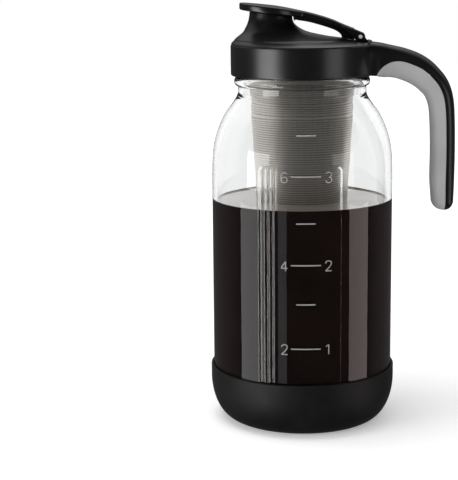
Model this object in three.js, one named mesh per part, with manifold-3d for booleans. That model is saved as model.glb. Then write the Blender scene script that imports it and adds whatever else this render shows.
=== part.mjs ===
// Cold brew coffee maker: a wide-mouth glass jar in a silicone boot, a conical mesh filter that hangs in
// the jar's mouth, and a screw-on pouring lid with a handle and a hinged spout cap.
// Millimetres, +Z up. The jar's axis is the Z axis and the boot stands on z = 0.
// The spout points to -X, the handle to +X and the jar's measuring panel to -Y.
import * as THREE from "three";
import { mergeVertices } from "three/addons/utils/BufferGeometryUtils.js";
import Module from "manifold-3d";

// Facet counts
const roundSteps = 48; // round the jar, the boot and the lid
const filterSteps = 40; // round the filter and the gasket
const plugSteps = 28; // round the spout plug
const pinSteps = 16; // round the hinge pin and its holes
const ridgeSteps = 28; // along one turn of a screw ridge
const cornerSteps = 4; // along a rounded corner of a profile
const lipSteps = 2; // along a small rounding
const shoulderSteps = 6; // up the jar's shoulder
const panelSteps = 8; // across the measuring panel
const handleSteps = 34; // along the handle
const handleEndSteps = 4; // round its lower end
const sectionSteps = 8; // across the handle's back or its grip
const headSteps = 9; // round a quarter of the cap's head
const armSteps = 10; // along the cap's arm

// Silicone boot
const bootWall = 1.5;
const bootHeight = 35.8;
const bootFloor = 2.2;
const bootCornerWidth = 16;
const bootCornerHeight = 28;
const bootRimRound = 0.5;
const bootGap = 0.3; // between the boot's wall and the glass

// Glass jar
const jarRadius = 58.5;
const jarWall = 3;
const jarFloor = 5;
const standWidth = 10.3; // flat ring that the jar stands on
const puntHeight = 1.5; // hollow inside that ring
const puntSlope = 4;
const jarTop = 239; // height of the lip
const neckBelowBead = 4.5; // from the ring under the thread down to the shoulder
const shoulderHeight = 54.8;
const neckRadius = 41.3;
const neckWall = 3.3;
const lipRound = 1;
const beadProud = 2.4; // ring under the screw thread
const beadWidth = 6;

// The shoulder's outline: share of its height, then share of the way in to the neck
const shoulderShares = [
  [0, 0],
  [0.2, 0.02],
  [0.385, 0.075],
  [0.575, 0.243],
  [0.765, 0.52],
  [0.86, 0.75],
  [0.95, 0.94],
  [1, 1],
];

// Flattened measuring panel on the jar's front
const panelWidth = 50.8;
const panelRise = 14; // from the foot of the shoulder up to the panel's top
const panelMiddleDepth = 1.2;
const panelEdgeDepth = 0.5;
const panelCornerRound = 3;
const panelTurnShare = 0.0033; // of a whole turn, from -Y towards the spout

// Screw thread between the jar and the lid
const threadPitch = 6.35;
const threadTurns = 1.25;
const threadTopDrop = 1.9625; // from the lip down to the upper end of the jar's ridge
const threadGap = 0.8; // from the ring up to the lower end of the jar's ridge
const threadStartTurn = 0.55; // place of that end round the jar, in turns from the handle
const jarRidgeProud = 1.7;
const jarRidgeFoot = 3;
const jarRidgeCrest = 1.1;
const lidCrestGap = 0.65; // from the neck out to the lid's ridge
const lidRidgeFoot = 2.6;
const lidRidgeCrest = 0.9;
const threadPlay = 0.35; // between the flanks when the lid is tight
const ridgeRoot = 0.5; // how deep a ridge is rooted in its wall
const ridgeFadeTurn = 0.08; // run-out at each end of a ridge, in turns
const lidRidgeStartTurn = 0.32; // how far along the jar's ridge the lid's ridge begins, in turns
const lidRidgeTurns = 1;

// Filter
const flangeInset = 0.1; // from the neck's outside in to the flange's edge
const flangeThickness = 0.9;
const flangeRoll = 0.45;
const collarGap = 3; // between the jar's mouth and the collar
const collarWall = 0.6;
const collarDrop = 6.8; // below the flange
const collarBend = 1.1;
const meshWall = 0.5;
const sleeveWall = 0.5;
const sleeveDrop = 7.6;
const sleeveTopGap = 1.2; // from the flange's top down to the sleeve
const meshTopGap = 1.6;
const filterLift = 27.9; // from the jar's floor up to the cup
const filterTaper = 11; // from the collar's radius down to the cup's
const cupWall = 0.6;
const cupHeight = 5.9;
const cupBend = 1.2;
const seatGap = 0.05; // between filter pieces that are welded to each other
const seamWidth = 4; // lap seam down the back of the mesh
const seamThickness = 0.9;

// Lid
const skirtGap = 0.55; // from the ring under the thread up to the lid's lower edge
const skirtPlay = 0.5; // from the jar's ridge out to the skirt
const skirtWall = 2.3;
const skirtChamfer = 0.6;
const lidBaseRound = 1.2;
const creaseRound = 0.7;
const topWall = 2.5;
const spoutInset = 12.3; // from the skirt in to the spout, on the side away from the handle
const spoutRadius = 13.65;
const spoutWall = 1.8;
const spoutRise = 19.4; // from the crease to the rim of the spout, on its axis
const rimSlopeShare = 0.12; // fall of the rim towards the hinge for each unit of length
const rimRound = 0.5;

// The lid's top: shares of the height from crease to rim, of the radius left to lose,
// of the way across to the spout's axis, and of the rim's tilt
const domeShares = [
  [0.02, 1, 0, 0],
  [0.095, 0.836, 0.2, 0],
  [0.143, 0.705, 0.355, 0],
  [0.169, 0.69, 0.372, 0],
  [0.24, 0.51, 0.59, 0],
  [0.38, 0.262, 0.809, 0.05],
  [0.49, 0.153, 0.909, 0.12],
  [0.634, 0.07, 0.965, 0.35],
  [0.76, 0.025, 0.99, 0.65],
  [0.88, 0.006, 1, 0.88],
];

// Lid gasket
const gasketWidth = 5.8;
const gasketThickness = 2;
const gasketRidge = 0.35;
const gasketRidgeWidth = 1.4;
const gasketGap = 0.35; // round the gasket, under the ceiling and over the flange

// Handle
const handleReach = 52.45; // out from the skirt
const handleDrop = 108; // down from the crease
const handleWidth = 25;
const backThickness = 6.3;
const gripThickness = 9.3;
const seamGap = 0.1; // between the handle's back and the grip
const gripEdge = 0.6; // the grip's thickness where it begins
const backSquareness = 2.8; // superellipse exponents of the two half sections
const gripSquareness = 3;

// Down the handle's outer line: shares of the reach and of the drop, then the thickness of the back, the
// thickness of the grip, the width and the back's squareness, as shares of their full sizes
const handleShares = [
  [-0.244, -0.019, 3.42, 0, 2.44, 2.2],
  [-0.13, -0.0165, 3.36, 0, 1.96, 2.2],
  [-0.06, -0.0125, 3.3, 0, 1.62, 2.2],
  [0.01, -0.008, 3.22, 0, 1.42, 2.15],
  [0.09, -0.003, 3.12, 0.1, 1.3, 2],
  [0.13, 0.001, 2.52, 0.54, 1.25, 1.85],
  [0.19, 0.0075, 1.84, 0.98, 1.18, 1.6],
  [0.27, 0.0155, 1.43, 1.17, 1.1, 1.35],
  [0.374, 0.027, 1.26, 1.26, 1.04, 1.12],
  [0.5425, 0.0565, 1.22, 1.29, 1, 1],
  [0.677, 0.095, 1.16, 1.3, 1, 1],
  [0.803, 0.152, 1.13, 1.24, 1, 1],
  [0.898, 0.214, 1.1, 1.19, 1, 1],
  [0.957, 0.289, 1.05, 1.12, 1, 1],
  [0.985, 0.382, 1.015, 1.04, 1, 1],
  [1, 0.605, 1, 1, 1, 1],
  [0.998, 0.814, 1, 0.99, 1, 1],
  [0.992, 0.932, 0.93, 0.9, 0.98, 1],
];
const handleEndRound = 7;

// Hinge
const pinInset = 8.8; // from the skirt in to the pin
const pinRise = 4.8; // from the crease up to the pin
const pinRadius = 1.25;
const pinProud = 0.15; // each end of the pin beyond the cap's knuckles
const pinFit = 0.05; // between the pin and the cap's knuckles
const pinPlay = 0.08; // between the pin and the lid's lug
const hingeWidth = 16; // across the outer faces of the knuckles
const knuckleWidth = 3.6;
const knuckleRadius = 3.05;
const lugRadius = 2.4;
const lugHeel = 4.7; // from the pin back to the foot of the lug's slope
const lugHeelDrop = 2.75; // from the pin down to that foot
const lugToe = 9.4; // from the pin back to where the slope runs out on the handle
const lugSink = 1.4; // how deep the lug is rooted in the lid
const hingeGap = 0.35; // between the lug and the knuckles, and under the knuckles

// Spout cap
const capOverhang = 6.75; // from the spout's outside out to the edge of the round head
const capHeadShift = 0.25; // from the spout's axis to the middle of the head, towards the hinge
const capHeadThickness = 4.4;
const capArmThickness = 3.3;
const cheekProud = 0.25; // each knuckle beyond the side of the cap's arm
const cheekDrop = 0.4; // from the arm's top down to the edge of a knuckle
const capEdgeRound = 1;
const capCrown = 0.35;
const capGap = 0.4; // between the cap and the spout's rim
const capEndGap = 3.5; // from the pin to the end of the arm's plate
const crownShare = 0.75; // of the crown's height, half-way in from the edge
const knuckleArcShares = [0.2, -0.7]; // from the plate round to the underside, in half turns
const ribWidth = 6;
const ribDepth = 2.45;
const ribCorner = 1; // in and down to the rib's lowest point beside the spout
const ribGap = 0.6; // between the rib and the spout
const footFront = 11.7; // from the pin to the rib's foot
const footBack = 3.7;
const footGap = 0.3; // between the foot and the lid
const footRound = 5;
const headBlendShare = 6; // sharpness of the join between the round head and the arm

// Underside of the arm from the spout to the pin: share of the length, then share of the fall left
const armShares = [
  [0, 1],
  [0.228, 0.887],
  [0.451, 0.69],
  [0.614, 0.508],
  [0.716, 0.36],
  [0.877, 0.15],
  [1, 0.02],
];

// Spout plug
const plugInset = 0.45; // from the spout's outside in to the plug's flange
const plugFlangeThickness = 1.3;
const plugDepth = 4.6;
const plugBoreGap = 0.7; // between the plug and the bore
const plugTaper = 1.95;
const plugBottomRound = 1.4;
const plugRibProud = 0.2;
const plugRibHeight = 1.2;
const plugRimGap = 0.15; // between the plug's flange and the rim
const plugSeatGap = 0.3; // between the plug and its seat in the cap
const plugWall = 2.2; // round the hollow in the plug's end
const plugHollowDepth = 2.6;

// A small rounding: shares of its size in from the side and in from the end
const edgeShares = [
  [1, 0],
  [0.293, 0.293],
  [0, 1],
];

// Working lengths
const overrun = 2; // how far a cutting solid reaches past the face it opens
const weld = 0.0005; // vertices closer than this are one

// Widths that follow from the sizes
const bootRadius = jarRadius + bootGap + bootWall;
const jarCornerWidth = bootCornerWidth - bootGap - bootWall;
const puntRadius = jarRadius - jarCornerWidth - standWidth - puntSlope;
const mouthRadius = neckRadius - neckWall;
const beadRadius = neckRadius + beadProud;
const jarCrestRadius = neckRadius + jarRidgeProud;
const lidCrestRadius = neckRadius + lidCrestGap;
const skirtInner = jarCrestRadius + skirtPlay;
const lidRadius = skirtInner + skirtWall;
const gasketOuter = skirtInner - gasketGap;
const gasketInner = gasketOuter - gasketWidth;
const ceilingRadius = gasketInner - gasketGap;
const flangeRadius = neckRadius - flangeInset;
const collarRadius = mouthRadius - collarGap;
const cupRadius = collarRadius - filterTaper;
const boreRadius = spoutRadius - spoutWall;
const spoutOffset = lidRadius - spoutInset - spoutRadius; // from the jar's axis to the spout's, towards -X
const capHeadRadius = spoutRadius + capOverhang;
const capHeadOffset = spoutOffset - capHeadShift;
const capArmWidth = hingeWidth - 2 * cheekProud;
const plugFlange = spoutRadius - plugInset;
const plugTopRadius = boreRadius - plugBoreGap;
const plugBottomRadius = plugTopRadius - plugTaper;
const plugHollowRadius = plugBottomRadius - plugWall;

// Heights that follow from the sizes
const jarFloorTop = bootFloor + puntHeight + jarFloor;
const threadStart = jarTop - threadTopDrop - threadPitch * threadTurns - jarRidgeFoot / 2;
const beadTop = threadStart - jarRidgeFoot / 2 - threadGap;
const neckBase = beadTop - beadWidth - neckBelowBead;
const shoulderBase = neckBase - shoulderHeight;
const panelTop = shoulderBase + panelRise;
const filterLength = jarTop + flangeThickness - jarFloorTop - filterLift;
const ceilingHeight = jarTop + flangeThickness + gasketThickness + gasketRidge + 2 * gasketGap;
const lidCrease = ceilingHeight + topWall; // the edge between the skirt and the top
const lidBase = beadTop + skirtGap;
const spoutHeight = lidCrease + spoutRise;
const pinX = lidRadius - pinInset;
const pinHeight = lidCrease + pinRise;

const wasm = await Module();
wasm.setup();

const black = { color: 0x16171a, roughness: 0.42, metalness: 0 };
const materials = {
  glass: new THREE.MeshStandardMaterial({
    color: 0xe8f0f0,
    roughness: 0.05,
    metalness: 0,
    transparent: true,
    opacity: 0.35,
  }),
  boot: new THREE.MeshStandardMaterial({ color: 0x141518, roughness: 0.75, metalness: 0 }),
  polishedSteel: new THREE.MeshStandardMaterial({ color: 0xd6d6d6, roughness: 0.12, metalness: 1 }),
  meshSteel: new THREE.MeshStandardMaterial({ color: 0x9d9b98, roughness: 0.45, metalness: 1 }),
  blackPlastic: new THREE.MeshStandardMaterial(black),
  grip: new THREE.MeshStandardMaterial({ color: 0x8f8f90, roughness: 0.7, metalness: 0 }),
  silicone: new THREE.MeshStandardMaterial({ color: 0xd9d9d6, roughness: 0.6, metalness: 0 }),
  plug: new THREE.MeshStandardMaterial({ color: 0x202124, roughness: 0.7, metalness: 0 }),
};

// A smooth function through a table of [place, value] rows, read at a place between the first and last
function smoothTable(rows, column = 1) {
  const places = rows.map((row) => row[0]);
  const values = rows.map((row) => row[column]);
  const interpolant = new THREE.CubicInterpolant(places, values, 1);
  return (place) => interpolant.evaluate(THREE.MathUtils.clamp(place, places[0], places.at(-1)))[0];
}

// Points of a quarter ellipse about a centre, from one angle to another, in the profile plane
function ellipseCorner(centreR, centreZ, width, height, from, to, steps = cornerSteps) {
  return Array.from({ length: steps + 1 }, (_, i) => {
    const angle = THREE.MathUtils.lerp(from, to, i / steps);
    return new THREE.Vector2(centreR + width * Math.cos(angle), centreZ + height * Math.sin(angle));
  });
}

// Turns a geometry's faces outwards and drops what a boolean doesn't need
function tidy(geometry) {
  const bare = geometry.index ? geometry.toNonIndexed() : geometry.clone();
  bare.deleteAttribute("normal");
  bare.deleteAttribute("uv");
  const merged = mergeVertices(bare, weld);
  const index = merged.index.array;
  const triangles = [];
  for (let i = 0; i < index.length; i += 3) {
    const [a, b, c] = [index[i], index[i + 1], index[i + 2]];
    if (a !== b && b !== c && c !== a) triangles.push([a, b, c]);
  }
  const at = (i) => new THREE.Vector3().fromBufferAttribute(merged.attributes.position, i);
  const sixVolumes = triangles.reduce((sum, [a, b, c]) => sum + at(a).dot(at(b).cross(at(c))), 0);
  const outward = sixVolumes < 0 ? triangles.map(([a, b, c]) => [a, c, b]) : triangles;
  merged.setIndex(outward.flat());
  return merged;
}

// A geometry as a solid for cutting and joining
function solidOf(geometry) {
  const clean = tidy(geometry);
  return new wasm.Manifold(
    new wasm.Mesh({
      numProp: 3,
      vertProperties: new Float32Array(clean.attributes.position.array),
      triVerts: new Uint32Array(clean.index.array),
    }),
  );
}

// A solid as a geometry again
function geometryOf(solid) {
  const mesh = solid.getMesh();
  const geometry = new THREE.BufferGeometry();
  const corners = new Float32Array(mesh.numVert * 3);
  for (let i = 0; i < mesh.numVert; i++) {
    corners.set(mesh.vertProperties.subarray(i * mesh.numProp, i * mesh.numProp + 3), i * 3);
  }
  geometry.setAttribute("position", new THREE.BufferAttribute(corners, 3));
  geometry.setIndex(new THREE.BufferAttribute(mesh.triVerts, 1));
  geometry.computeVertexNormals();
  return geometry;
}

// A profile of [radius, height] points turned round the Z axis
function turned(profile, steps) {
  const points = profile.map((p) => new THREE.Vector2(p.x, p.y));
  return new THREE.LatheGeometry(points, steps).rotateX(Math.PI / 2);
}

// A ring profile closed on itself, turned round the Z axis
function turnedRing(profile, steps) {
  return turned([...profile, profile[0]], steps);
}

// The surface over a row of rings that have the same number of points, with a fan over each open end
function skin(rings, openEnds = true) {
  const count = rings[0].length;
  const corners = rings.flat().flatMap((p) => [p.x, p.y, p.z]);
  const index = [];
  for (let row = 0; row + 1 < rings.length; row++) {
    for (let i = 0; i < count; i++) {
      const a = row * count + i;
      const b = row * count + ((i + 1) % count);
      index.push(a, b, a + count, b, b + count, a + count);
    }
  }
  if (openEnds) {
    for (const [row, turn] of [
      [0, 1],
      [rings.length - 1, 0],
    ]) {
      const middle = rings[row].reduce((sum, p) => sum.add(p), new THREE.Vector3()).divideScalar(count);
      const hub = corners.length / 3;
      corners.push(middle.x, middle.y, middle.z);
      for (let i = 0; i < count; i++) {
        const a = row * count + i;
        const b = row * count + ((i + 1) % count);
        index.push(...(turn ? [b, a, hub] : [a, b, hub]));
      }
    }
  }
  const geometry = new THREE.BufferGeometry();
  geometry.setAttribute("position", new THREE.Float32BufferAttribute(corners, 3));
  geometry.setIndex(index);
  return tidy(geometry);
}

// A level circle of points about (x, 0), tilted so that it falls towards +X by slope
function circle(x, radius, height, slope = 0, steps = roundSteps) {
  return Array.from({ length: steps }, (_, i) => {
    const angle = (2 * Math.PI * i) / steps;
    const out = radius * Math.cos(angle);
    return new THREE.Vector3(x + out, radius * Math.sin(angle), height - slope * out);
  });
}

// A flat outline in the XZ plane, thickened along Y about y = middle
function plate(shape, thickness, middle = 0) {
  const settings = { depth: thickness, bevelEnabled: false, curveSegments: cornerSteps };
  return new THREE.ExtrudeGeometry(shape, settings)
    .rotateX(Math.PI / 2)
    .translate(0, middle + thickness / 2, 0);
}

// A round bar along Y through (x, z)
function crossBar(radius, length, x, z) {
  return new THREE.CylinderGeometry(radius, radius, length, pinSteps).translate(x, 0, z);
}

// One ridge of a screw thread, rooted in a round wall, fading out at both ends
function screwRidge({ wallRadius, crestRadius, foot, crest, start, startTurn, turns }) {
  const outward = Math.sign(crestRadius - wallRadius);
  const steps = Math.ceil(turns * ridgeSteps);
  const rings = Array.from({ length: steps + 1 }, (_, i) => {
    const turn = (turns * i) / steps;
    const nearEnd = Math.min(turn, turns - turn) / ridgeFadeTurn;
    const rise = (crestRadius - wallRadius) * THREE.MathUtils.smoothstep(nearEnd, 0, 1);
    const angle = 2 * Math.PI * (startTurn + turn);
    const height = start + threadPitch * turn;
    const section = [
      [wallRadius - outward * ridgeRoot, -foot / 2],
      [wallRadius, -foot / 2],
      [wallRadius + rise, -crest / 2],
      [wallRadius + rise, crest / 2],
      [wallRadius, foot / 2],
      [wallRadius - outward * ridgeRoot, foot / 2],
    ];
    return section.map(
      ([r, z]) => new THREE.Vector3(r * Math.cos(angle), r * Math.sin(angle), height + z),
    );
  });
  return skin(rings);
}

// The glass: foot, wall, shoulder, bead and lip outside, then the same forms back down inside
function glassJar() {
  const base = bootFloor;
  const cornerHeight = bootCornerHeight - bootFloor;
  const inward = smoothTable(shoulderShares);
  const shoulder = (startRadius, endRadius, bottom, top) =>
    Array.from({ length: shoulderSteps + 1 }, (_, i) => {
      const share = Math.sin((Math.PI / 2) * (i / shoulderSteps));
      return new THREE.Vector2(
        THREE.MathUtils.lerp(startRadius, endRadius, inward(share)),
        THREE.MathUtils.lerp(bottom, top, share),
      );
    });
  const outside = [
    new THREE.Vector2(0, base + puntHeight),
    new THREE.Vector2(puntRadius, base + puntHeight),
    new THREE.Vector2(puntRadius + puntSlope, base),
    ...ellipseCorner(
      jarRadius - jarCornerWidth,
      base + cornerHeight,
      jarCornerWidth,
      cornerHeight,
      -Math.PI / 2,
      0,
    ),
    ...shoulder(jarRadius, neckRadius, shoulderBase, neckBase),
    ...ellipseCorner(
      neckRadius,
      beadTop - beadWidth / 2,
      beadRadius - neckRadius,
      beadWidth / 2,
      -Math.PI / 2,
      Math.PI / 2,
    ),
    ...ellipseCorner(
      neckRadius - lipRound,
      jarTop - lipRound,
      lipRound,
      lipRound,
      0,
      Math.PI / 2,
      lipSteps,
    ),
  ];
  const inside = [
    ...ellipseCorner(
      mouthRadius + lipRound,
      jarTop - lipRound,
      lipRound,
      lipRound,
      Math.PI / 2,
      Math.PI,
      lipSteps,
    ),
    ...shoulder(jarRadius - jarWall, mouthRadius, shoulderBase - jarWall, neckBase - jarWall).reverse(),
    ...ellipseCorner(
      jarRadius - jarWall - jarCornerWidth,
      jarFloorTop + cornerHeight - jarWall,
      jarCornerWidth,
      cornerHeight - jarWall,
      0,
      -Math.PI / 2,
    ),
    new THREE.Vector2(0, jarFloorTop),
  ];
  return solidOf(turned([...outside, ...inside], roundSteps))
    .subtract(solidOf(panelCutter()))
    .add(
      solidOf(
        screwRidge({
          wallRadius: neckRadius,
          crestRadius: jarCrestRadius,
          foot: jarRidgeFoot,
          crest: jarRidgeCrest,
          start: threadStart,
          startTurn: threadStartTurn,
          turns: threadTurns,
        }),
      ),
    );
}

// What is taken off the jar's front: a wide shallow curve that leaves a step at its edges and its top
function panelCutter() {
  const half = panelWidth / 2;
  const edgeY = Math.sqrt(jarRadius ** 2 - half ** 2) - panelEdgeDepth;
  const middleY = jarRadius - panelMiddleDepth;
  const sagitta = middleY - edgeY;
  const radius = (half ** 2 + sagitta ** 2) / (2 * sagitta);
  const spread = Math.asin(half / radius);
  const outline = new THREE.Shape();
  outline.moveTo(half, -jarRadius - overrun);
  outline.lineTo(half, -edgeY);
  outline.absarc(0, radius - middleY, radius, spread - Math.PI / 2, -spread - Math.PI / 2, true);
  outline.lineTo(-half, -jarRadius - overrun);
  outline.closePath();
  const column = new THREE.ExtrudeGeometry(outline, {
    depth: panelTop,
    bevelEnabled: false,
    curveSegments: panelSteps,
  });
  const front = new THREE.Shape();
  front.moveTo(-half, 0);
  front.lineTo(-half, panelTop - panelCornerRound);
  const corner = half - panelCornerRound;
  front.absarc(-corner, panelTop - panelCornerRound, panelCornerRound, Math.PI, Math.PI / 2, true);
  front.absarc(corner, panelTop - panelCornerRound, panelCornerRound, Math.PI / 2, 0, true);
  front.lineTo(half, 0);
  front.closePath();
  const face = plate(front, jarRadius * 2, -jarRadius);
  const cutter = geometryOf(solidOf(column).intersect(solidOf(face)));
  return cutter.rotateZ(-2 * Math.PI * panelTurnShare);
}

// The boot: a cup that follows the jar's foot
function siliconeBoot() {
  const innerRadius = jarRadius + bootGap;
  const cornerWidth = bootCornerWidth - bootWall;
  const outerCorner = ellipseCorner(
    bootRadius - bootCornerWidth,
    bootCornerHeight,
    bootCornerWidth,
    bootCornerHeight,
    -Math.PI / 2,
    0,
  );
  const innerCorner = ellipseCorner(
    innerRadius - cornerWidth,
    bootCornerHeight,
    cornerWidth,
    bootCornerHeight - bootFloor,
    0,
    -Math.PI / 2,
  );
  const profile = [
    new THREE.Vector2(0, 0),
    ...outerCorner,
    new THREE.Vector2(bootRadius, bootHeight - bootRimRound),
    new THREE.Vector2(bootRadius - bootRimRound, bootHeight),
    new THREE.Vector2(innerRadius, bootHeight),
    ...innerCorner,
    new THREE.Vector2(0, bootFloor),
  ];
  return turned(profile, roundSteps);
}

// Heights in the filter are below the flange's underside, which rests on the jar's lip
const collarInner = collarRadius - collarWall;
const meshTopRadius = collarInner - seatGap;
const cupInner = cupRadius - cupWall;
const meshBottomRadius = cupInner - seatGap;
const filterBottom = flangeThickness - filterLength;

// Flange with a rolled edge, bent down into the collar that holds the mesh
function filterRim() {
  const profile = [
    new THREE.Vector2(collarInner, -collarDrop),
    new THREE.Vector2(collarRadius, -collarDrop),
    new THREE.Vector2(collarRadius, 0),
    new THREE.Vector2(flangeRadius - flangeRoll, 0),
    new THREE.Vector2(flangeRadius, flangeRoll),
    new THREE.Vector2(flangeRadius - flangeRoll, flangeThickness),
    new THREE.Vector2(collarInner + collarBend, flangeThickness),
    new THREE.Vector2(collarInner, flangeThickness - collarBend),
  ];
  return turnedRing(profile, filterSteps);
}

// Sleeve that clamps the mesh against the inside of the collar
function filterSleeve() {
  const outer = meshTopRadius - meshWall - seatGap;
  const inner = outer - sleeveWall;
  const top = flangeThickness - sleeveTopGap;
  const bottom = flangeThickness - sleeveDrop;
  const profile = [
    new THREE.Vector2(inner, bottom),
    new THREE.Vector2(outer, bottom),
    new THREE.Vector2(outer, top),
    new THREE.Vector2(inner, top),
  ];
  return turnedRing(profile, filterSteps);
}

// Tapered mesh wall with a straight hem in the collar and another in the cup, and its lap seam
function filterMesh() {
  const top = flangeThickness - meshTopGap;
  const bottom = filterBottom + cupWall + seatGap;
  const hemTop = -collarDrop - collarBend;
  const hemBottom = filterBottom + cupHeight + cupBend;
  const line = [
    [meshBottomRadius, bottom],
    [meshBottomRadius, hemBottom],
    [meshTopRadius, hemTop],
    [meshTopRadius, top],
  ];
  const profile = [
    ...line.map(([r, z]) => new THREE.Vector2(r, z)),
    ...line.map(([r, z]) => new THREE.Vector2(r - meshWall, z)).reverse(),
  ];
  const slant = Math.hypot(meshTopRadius - meshBottomRadius, hemTop - hemBottom) - 2 * cupBend;
  const lean = Math.atan2(meshTopRadius - meshBottomRadius, hemTop - hemBottom);
  const seam = new THREE.BoxGeometry(seamWidth, seamThickness, slant)
    .rotateX(-lean)
    .translate(0, (meshTopRadius + meshBottomRadius) / 2 - meshWall / 2, (hemTop + hemBottom) / 2);
  return solidOf(turnedRing(profile, filterSteps)).add(solidOf(seam));
}

// Pressed cup that closes the filter's lower end
function filterCup() {
  const profile = [
    new THREE.Vector2(0, filterBottom),
    ...ellipseCorner(
      cupRadius - cupBend,
      filterBottom + cupBend,
      cupBend,
      cupBend,
      -Math.PI / 2,
      0,
      lipSteps,
    ),
    new THREE.Vector2(cupRadius, filterBottom + cupHeight),
    new THREE.Vector2(cupInner, filterBottom + cupHeight),
    new THREE.Vector2(cupInner, filterBottom + cupWall),
    new THREE.Vector2(0, filterBottom + cupWall),
  ];
  return turned(profile, filterSteps);
}

// Flat ring with a sealing ridge on its lower face
function lidGasket() {
  const middle = (gasketOuter + gasketInner) / 2;
  const profile = [
    new THREE.Vector2(gasketInner, 0),
    new THREE.Vector2(middle - gasketRidgeWidth / 2, 0),
    new THREE.Vector2(middle, -gasketRidge),
    new THREE.Vector2(middle + gasketRidgeWidth / 2, 0),
    new THREE.Vector2(gasketOuter, 0),
    new THREE.Vector2(gasketOuter, gasketThickness),
    new THREE.Vector2(gasketInner, gasketThickness),
  ];
  return turnedRing(profile, filterSteps);
}

// Height of the spout's rim plane over a place along X
function rimHeight(x) {
  return spoutHeight - rimSlopeShare * (x + spoutOffset);
}

// Circles up the lid's top, either the outside or the hollow inside
function domeRings(bottom, bottomRadius, topRadius, rows) {
  return rows.map(([height, radius, offset, tilt]) =>
    circle(
      -spoutOffset * offset,
      THREE.MathUtils.lerp(topRadius, bottomRadius, radius),
      THREE.MathUtils.lerp(bottom, spoutHeight, height),
      rimSlopeShare * tilt,
    ),
  );
}

// Height of the lid's top over a place on the hinge's side, along the middle line
function lidTopAt(x) {
  const line = domeShares.map(([height, radius, offset]) => [
    -spoutOffset * offset + THREE.MathUtils.lerp(spoutRadius, lidRadius, radius),
    THREE.MathUtils.lerp(lidCrease, spoutHeight, height),
  ]);
  const upper = line.findIndex(([place]) => place < x);
  const [[x1, z1], [x0, z0]] = [line[upper], line[upper - 1]];
  return THREE.MathUtils.mapLinear(x, x0, x1, z0, z1);
}

// Where the handle is cut across: a point of the seam between back and grip, the way out, and the sizes
function handleStations() {
  const line = new THREE.CatmullRomCurve3(
    handleShares.map(
      ([out, down]) => new THREE.Vector3(lidRadius + handleReach * out, 0, lidCrease - handleDrop * down),
    ),
    false,
    "centripetal",
  );
  const last = handleShares.length - 1;
  const column = (number) => smoothTable(handleShares.map((row, i) => [i / last, row[number]]));
  const [back, grip, width, square] = [2, 3, 4, 5].map(column);
  const stations = Array.from({ length: handleSteps + 1 }, (_, i) => {
    const place = i / handleSteps;
    const along = line.getTangent(place);
    const outward = new THREE.Vector3(-along.z, 0, along.x);
    const thickness = backThickness * back(place);
    return {
      place,
      along,
      outward,
      seam: line.getPoint(place).addScaledVector(outward, -thickness),
      back: thickness,
      grip: gripThickness * grip(place),
      halfWidth: (handleWidth / 2) * width(place),
      squareness: backSquareness * square(place),
    };
  });
  const end = stations.at(-1);
  for (let i = 1; i <= handleEndSteps; i++) {
    const angle = (Math.PI / 2) * (i / handleEndSteps);
    const left = Math.cos(angle);
    stations.push({
      ...end,
      seam: end.seam.clone().addScaledVector(end.along, handleEndRound * Math.sin(angle)),
      back: end.back * left,
      grip: end.grip * left,
      halfWidth: end.halfWidth * left,
    });
  }
  return stations;
}

// Half of a rounded section: from one side of the seam, over its crown, to the other side
function halfSection({ seam, outward, halfWidth }, base, depth, squareness) {
  const power = 2 / squareness;
  return Array.from({ length: sectionSteps + 1 }, (_, i) => {
    const angle = Math.PI * (i / sectionSteps);
    const across = Math.sign(Math.cos(angle)) * Math.abs(Math.cos(angle)) ** power;
    const over = Math.sin(angle) ** power;
    return seam
      .clone()
      .addScaledVector(outward, base + depth * over)
      .add(new THREE.Vector3(0, halfWidth * across, 0));
  });
}

// Hard back of the handle, moulded with the lid
function handleBack(stations) {
  return skin(stations.map((s) => halfSection(s, 0, s.back, s.squareness)));
}

// Soft grip moulded on the inside of the back
function handleGrip(stations) {
  const held = stations.filter((s, i) => s.grip > gripEdge || i > handleSteps);
  return skin(held.map((s) => halfSection(s, -seamGap, -s.grip, gripSquareness)));
}

// The lug on the lid between the cap's knuckles, with a slope behind it
function hingeLug() {
  const shape = new THREE.Shape();
  const floor = lidTopAt(pinX) - lugSink;
  shape.moveTo(pinX - lugRadius, floor);
  shape.lineTo(pinX - lugRadius, pinHeight);
  shape.absarc(pinX, pinHeight, lugRadius, Math.PI, Math.PI / 4, true);
  shape.lineTo(pinX + lugHeel, pinHeight - lugHeelDrop);
  shape.lineTo(pinX + lugToe, floor);
  shape.closePath();
  return plate(shape, hingeWidth - 2 * knuckleWidth - 2 * hingeGap);
}

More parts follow.
